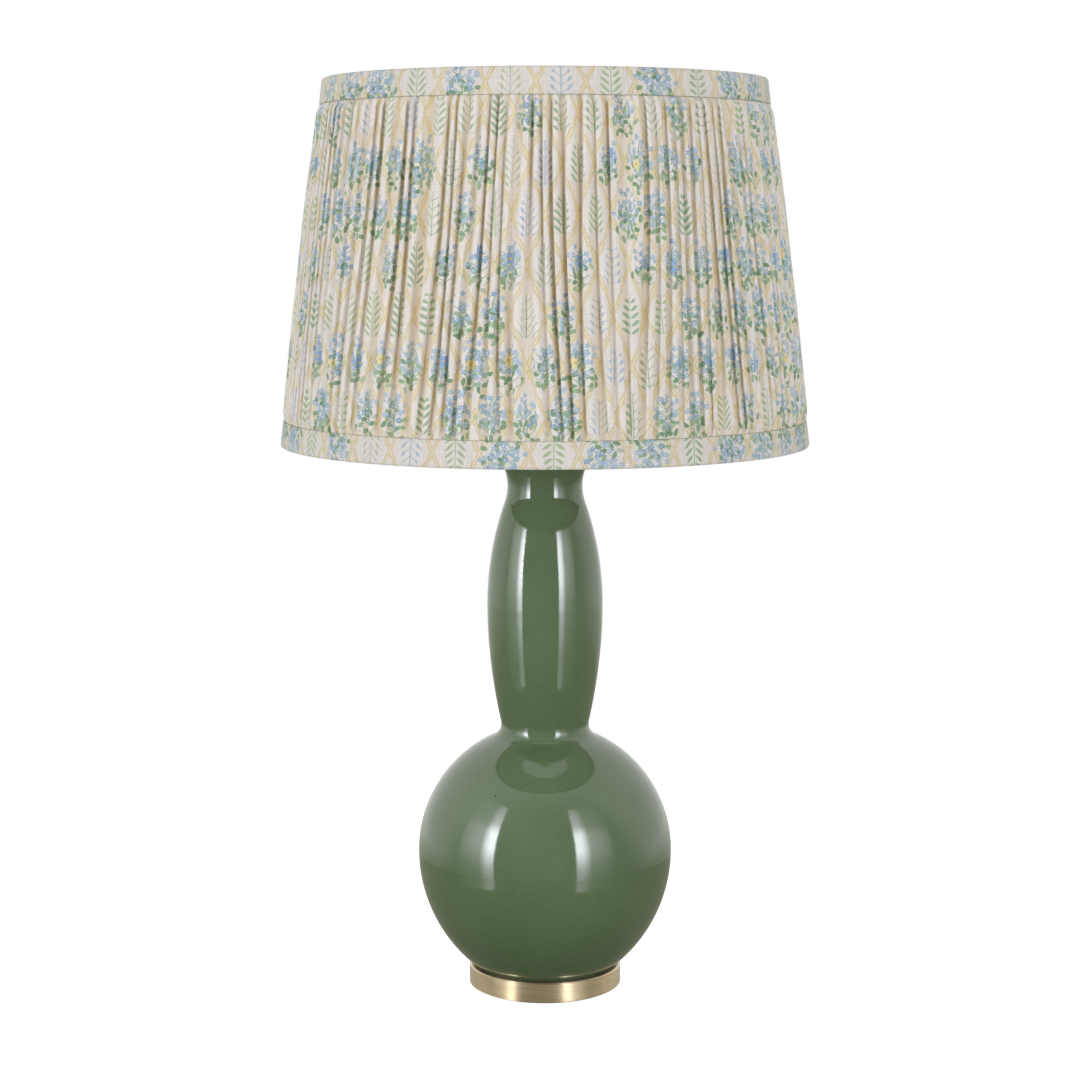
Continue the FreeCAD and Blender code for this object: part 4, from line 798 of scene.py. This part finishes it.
# %% Floor
HALF_FLOOR = 1.3
floor_mesh = bmesh.new()
bmesh.ops.create_grid(floor_mesh, x_segments=1, y_segments=1, size=HALF_FLOOR)
floor = finished("floor", floor_mesh)
paper = bpy.data.materials.new("white_floor")
tree = bare_tree(paper)
ray = add(tree, "LightPath", {})
matt = add(tree, "BsdfDiffuse", {"Color": "#b0b0b0"})
glow = add(tree, "Emission", {"Color": "#ffffff", "Strength": 0.9})
lifted = add(tree, "AddShader", {0: matt, 1: glow})
seen = add(tree, "MixShader", {0: ray.outputs["Is Camera Ray"], 1: matt, 2: lifted})
add(tree, "OutputMaterial", {"Surface": seen})
floor.data.materials.append(paper)
floor.visible_glossy = False
print("the floor is", 2 * HALF_FLOOR, "m square")

# %% Room light
FILL, SHINE = 0.56, 1.25
BEHIND_LAMP = (0.0, 0.85, 0.53)
world = bpy.data.worlds.new("white_room")
bpy.context.scene.world = world
tree = bare_tree(world)
ray = add(tree, "LightPath", {})
way = add(tree, "TexCoord", {}).outputs["Generated"]
facing = add(tree, "VectorMath", {0: way, 1: BEHIND_LAMP}, operation="DOT_PRODUCT")
share = add(tree, "MapRange", {"Value": facing.outputs["Value"], "From Min": -1.0, "From Max": 1.0})
room = add(tree, "ValToRGB", {"Fac": share}, [
    (0.0, "#8c8c8c"), (0.25, "#949494"), (0.45, "#b6b6b6"), (0.6, "#e8e8e8")])
rise = add(tree, "SeparateXYZ", {0: way}).outputs["Z"]
depth = add(tree, "MapRange", {"Value": rise, "From Min": -1.0, "From Max": 0.0})
ground = add(tree, "ValToRGB", {"Fac": depth}, [(0.1, "#5a574c"), (0.7, "#8a8678")])
low = add(tree, "MapRange", {"Value": rise, "From Min": -0.12, "From Max": -0.28})
seen_room = add(tree, "Mix", {FACTOR: low, UNDER: room, OVER: ground}, **COVERS)
fill = add(tree, "Background", {"Color": "#ffffff", "Strength": FILL})
shine = add(tree, "Background", {"Color": seen_room, "Strength": SHINE})
white = add(tree, "Background", {"Color": "#ffffff", "Strength": 1.0})
mirror = add(tree, "Math", {0: ray.outputs["Is Glossy Ray"], 1: ray.outputs["Is Transmission Ray"]},
             operation="MAXIMUM")
inner = add(tree, "MixShader", {0: mirror, 1: fill, 2: shine})
outer = add(tree, "MixShader", {0: ray.outputs["Is Camera Ray"], 1: inner, 2: white})
add(tree, "OutputWorld", {"Surface": outer})
print("the room fills at", FILL, "and shows in glaze and metal at", SHINE)

# %% Windows of light
WINDOW_WIDE, WINDOW_TALL = 1.1, 2.2


def window(name, place, aim, inner, power):
    """A soft panel of light, brightest near its inner edge, which is at 0 or 1 of its width."""
    light = bpy.data.lights.new(name, "AREA")
    light.shape = "RECTANGLE"
    light.size, light.size_y = WINDOW_WIDE, WINDOW_TALL
    light.energy = power
    tree = bare_tree(light)
    across, up, _ = add(tree, "SeparateXYZ", {
        0: add(tree, "NewGeometry", {}).outputs["Parametric"]}).outputs
    outwards = add(tree, "MapRange", {"Value": across, "From Min": inner, "From Max": 1.0 - inner})
    spread = add(tree, "ValToRGB", {"Fac": outwards}, [
        (0.0, "#000000"), (0.04, "#e9ebf4"), (0.18, "#e2e4ed"), (0.36, "#737478"), (1.0, "#323233")])
    upwards = add(tree, "ValToRGB", {"Fac": up}, [
        (0.0, "#686868"), (0.12, "#606060"), (0.24, "#9c9c9c"), (0.3, "#c4c4c4"), (0.42, "#ffffff"),
        (0.58, "#ffffff"), (0.7, "#a0a0a0"), (1.0, "#606060")])
    colour = add(tree, "Mix", {FACTOR: 1.0, UNDER: spread, OVER: upwards}, **TINTS)
    add(tree, "OutputLight", {"Surface": add(tree, "Emission", {"Color": colour})})
    thing = bpy.data.objects.new(name, light)
    thing.location = place
    thing.rotation_euler = (Vector(aim) - Vector(place)).to_track_quat("-Z", "Y").to_euler()
    bpy.context.scene.collection.objects.link(thing)
    print(name, "stands", round(Vector(place).xy.length, 2), "m from the lamp")


window("left_window", (-1.45, -0.69, 0.55), (-0.315, 0.175, 0.55), inner=1.0, power=120)
window("right_window", (1.17, -1.10, 0.55), (0.42, 0.33, 0.55), inner=0.0, power=104)

# %% Camera
AWAY, UP, DOWNWARDS = 1.5922, 0.5154, 7.548
# The photograph is so many pixels wide, and the lamp's axis is so many right of its middle
FRAME, ASIDE = 1080, 5
eye = bpy.data.cameras.new("camera")
eye.lens, eye.sensor_width = 80.0, 36.0
eye.shift_x = -ASIDE / FRAME
camera = bpy.data.objects.new("camera", eye)
camera.location = (0, -AWAY, UP)
camera.rotation_euler = (math.radians(90 - DOWNWARDS), 0, 0)
bpy.context.scene.collection.objects.link(camera)
bpy.context.scene.camera = camera
bpy.context.scene.view_settings.view_transform = "Standard"
print("the camera stands", AWAY, "m away and looks", DOWNWARDS, "degrees down")
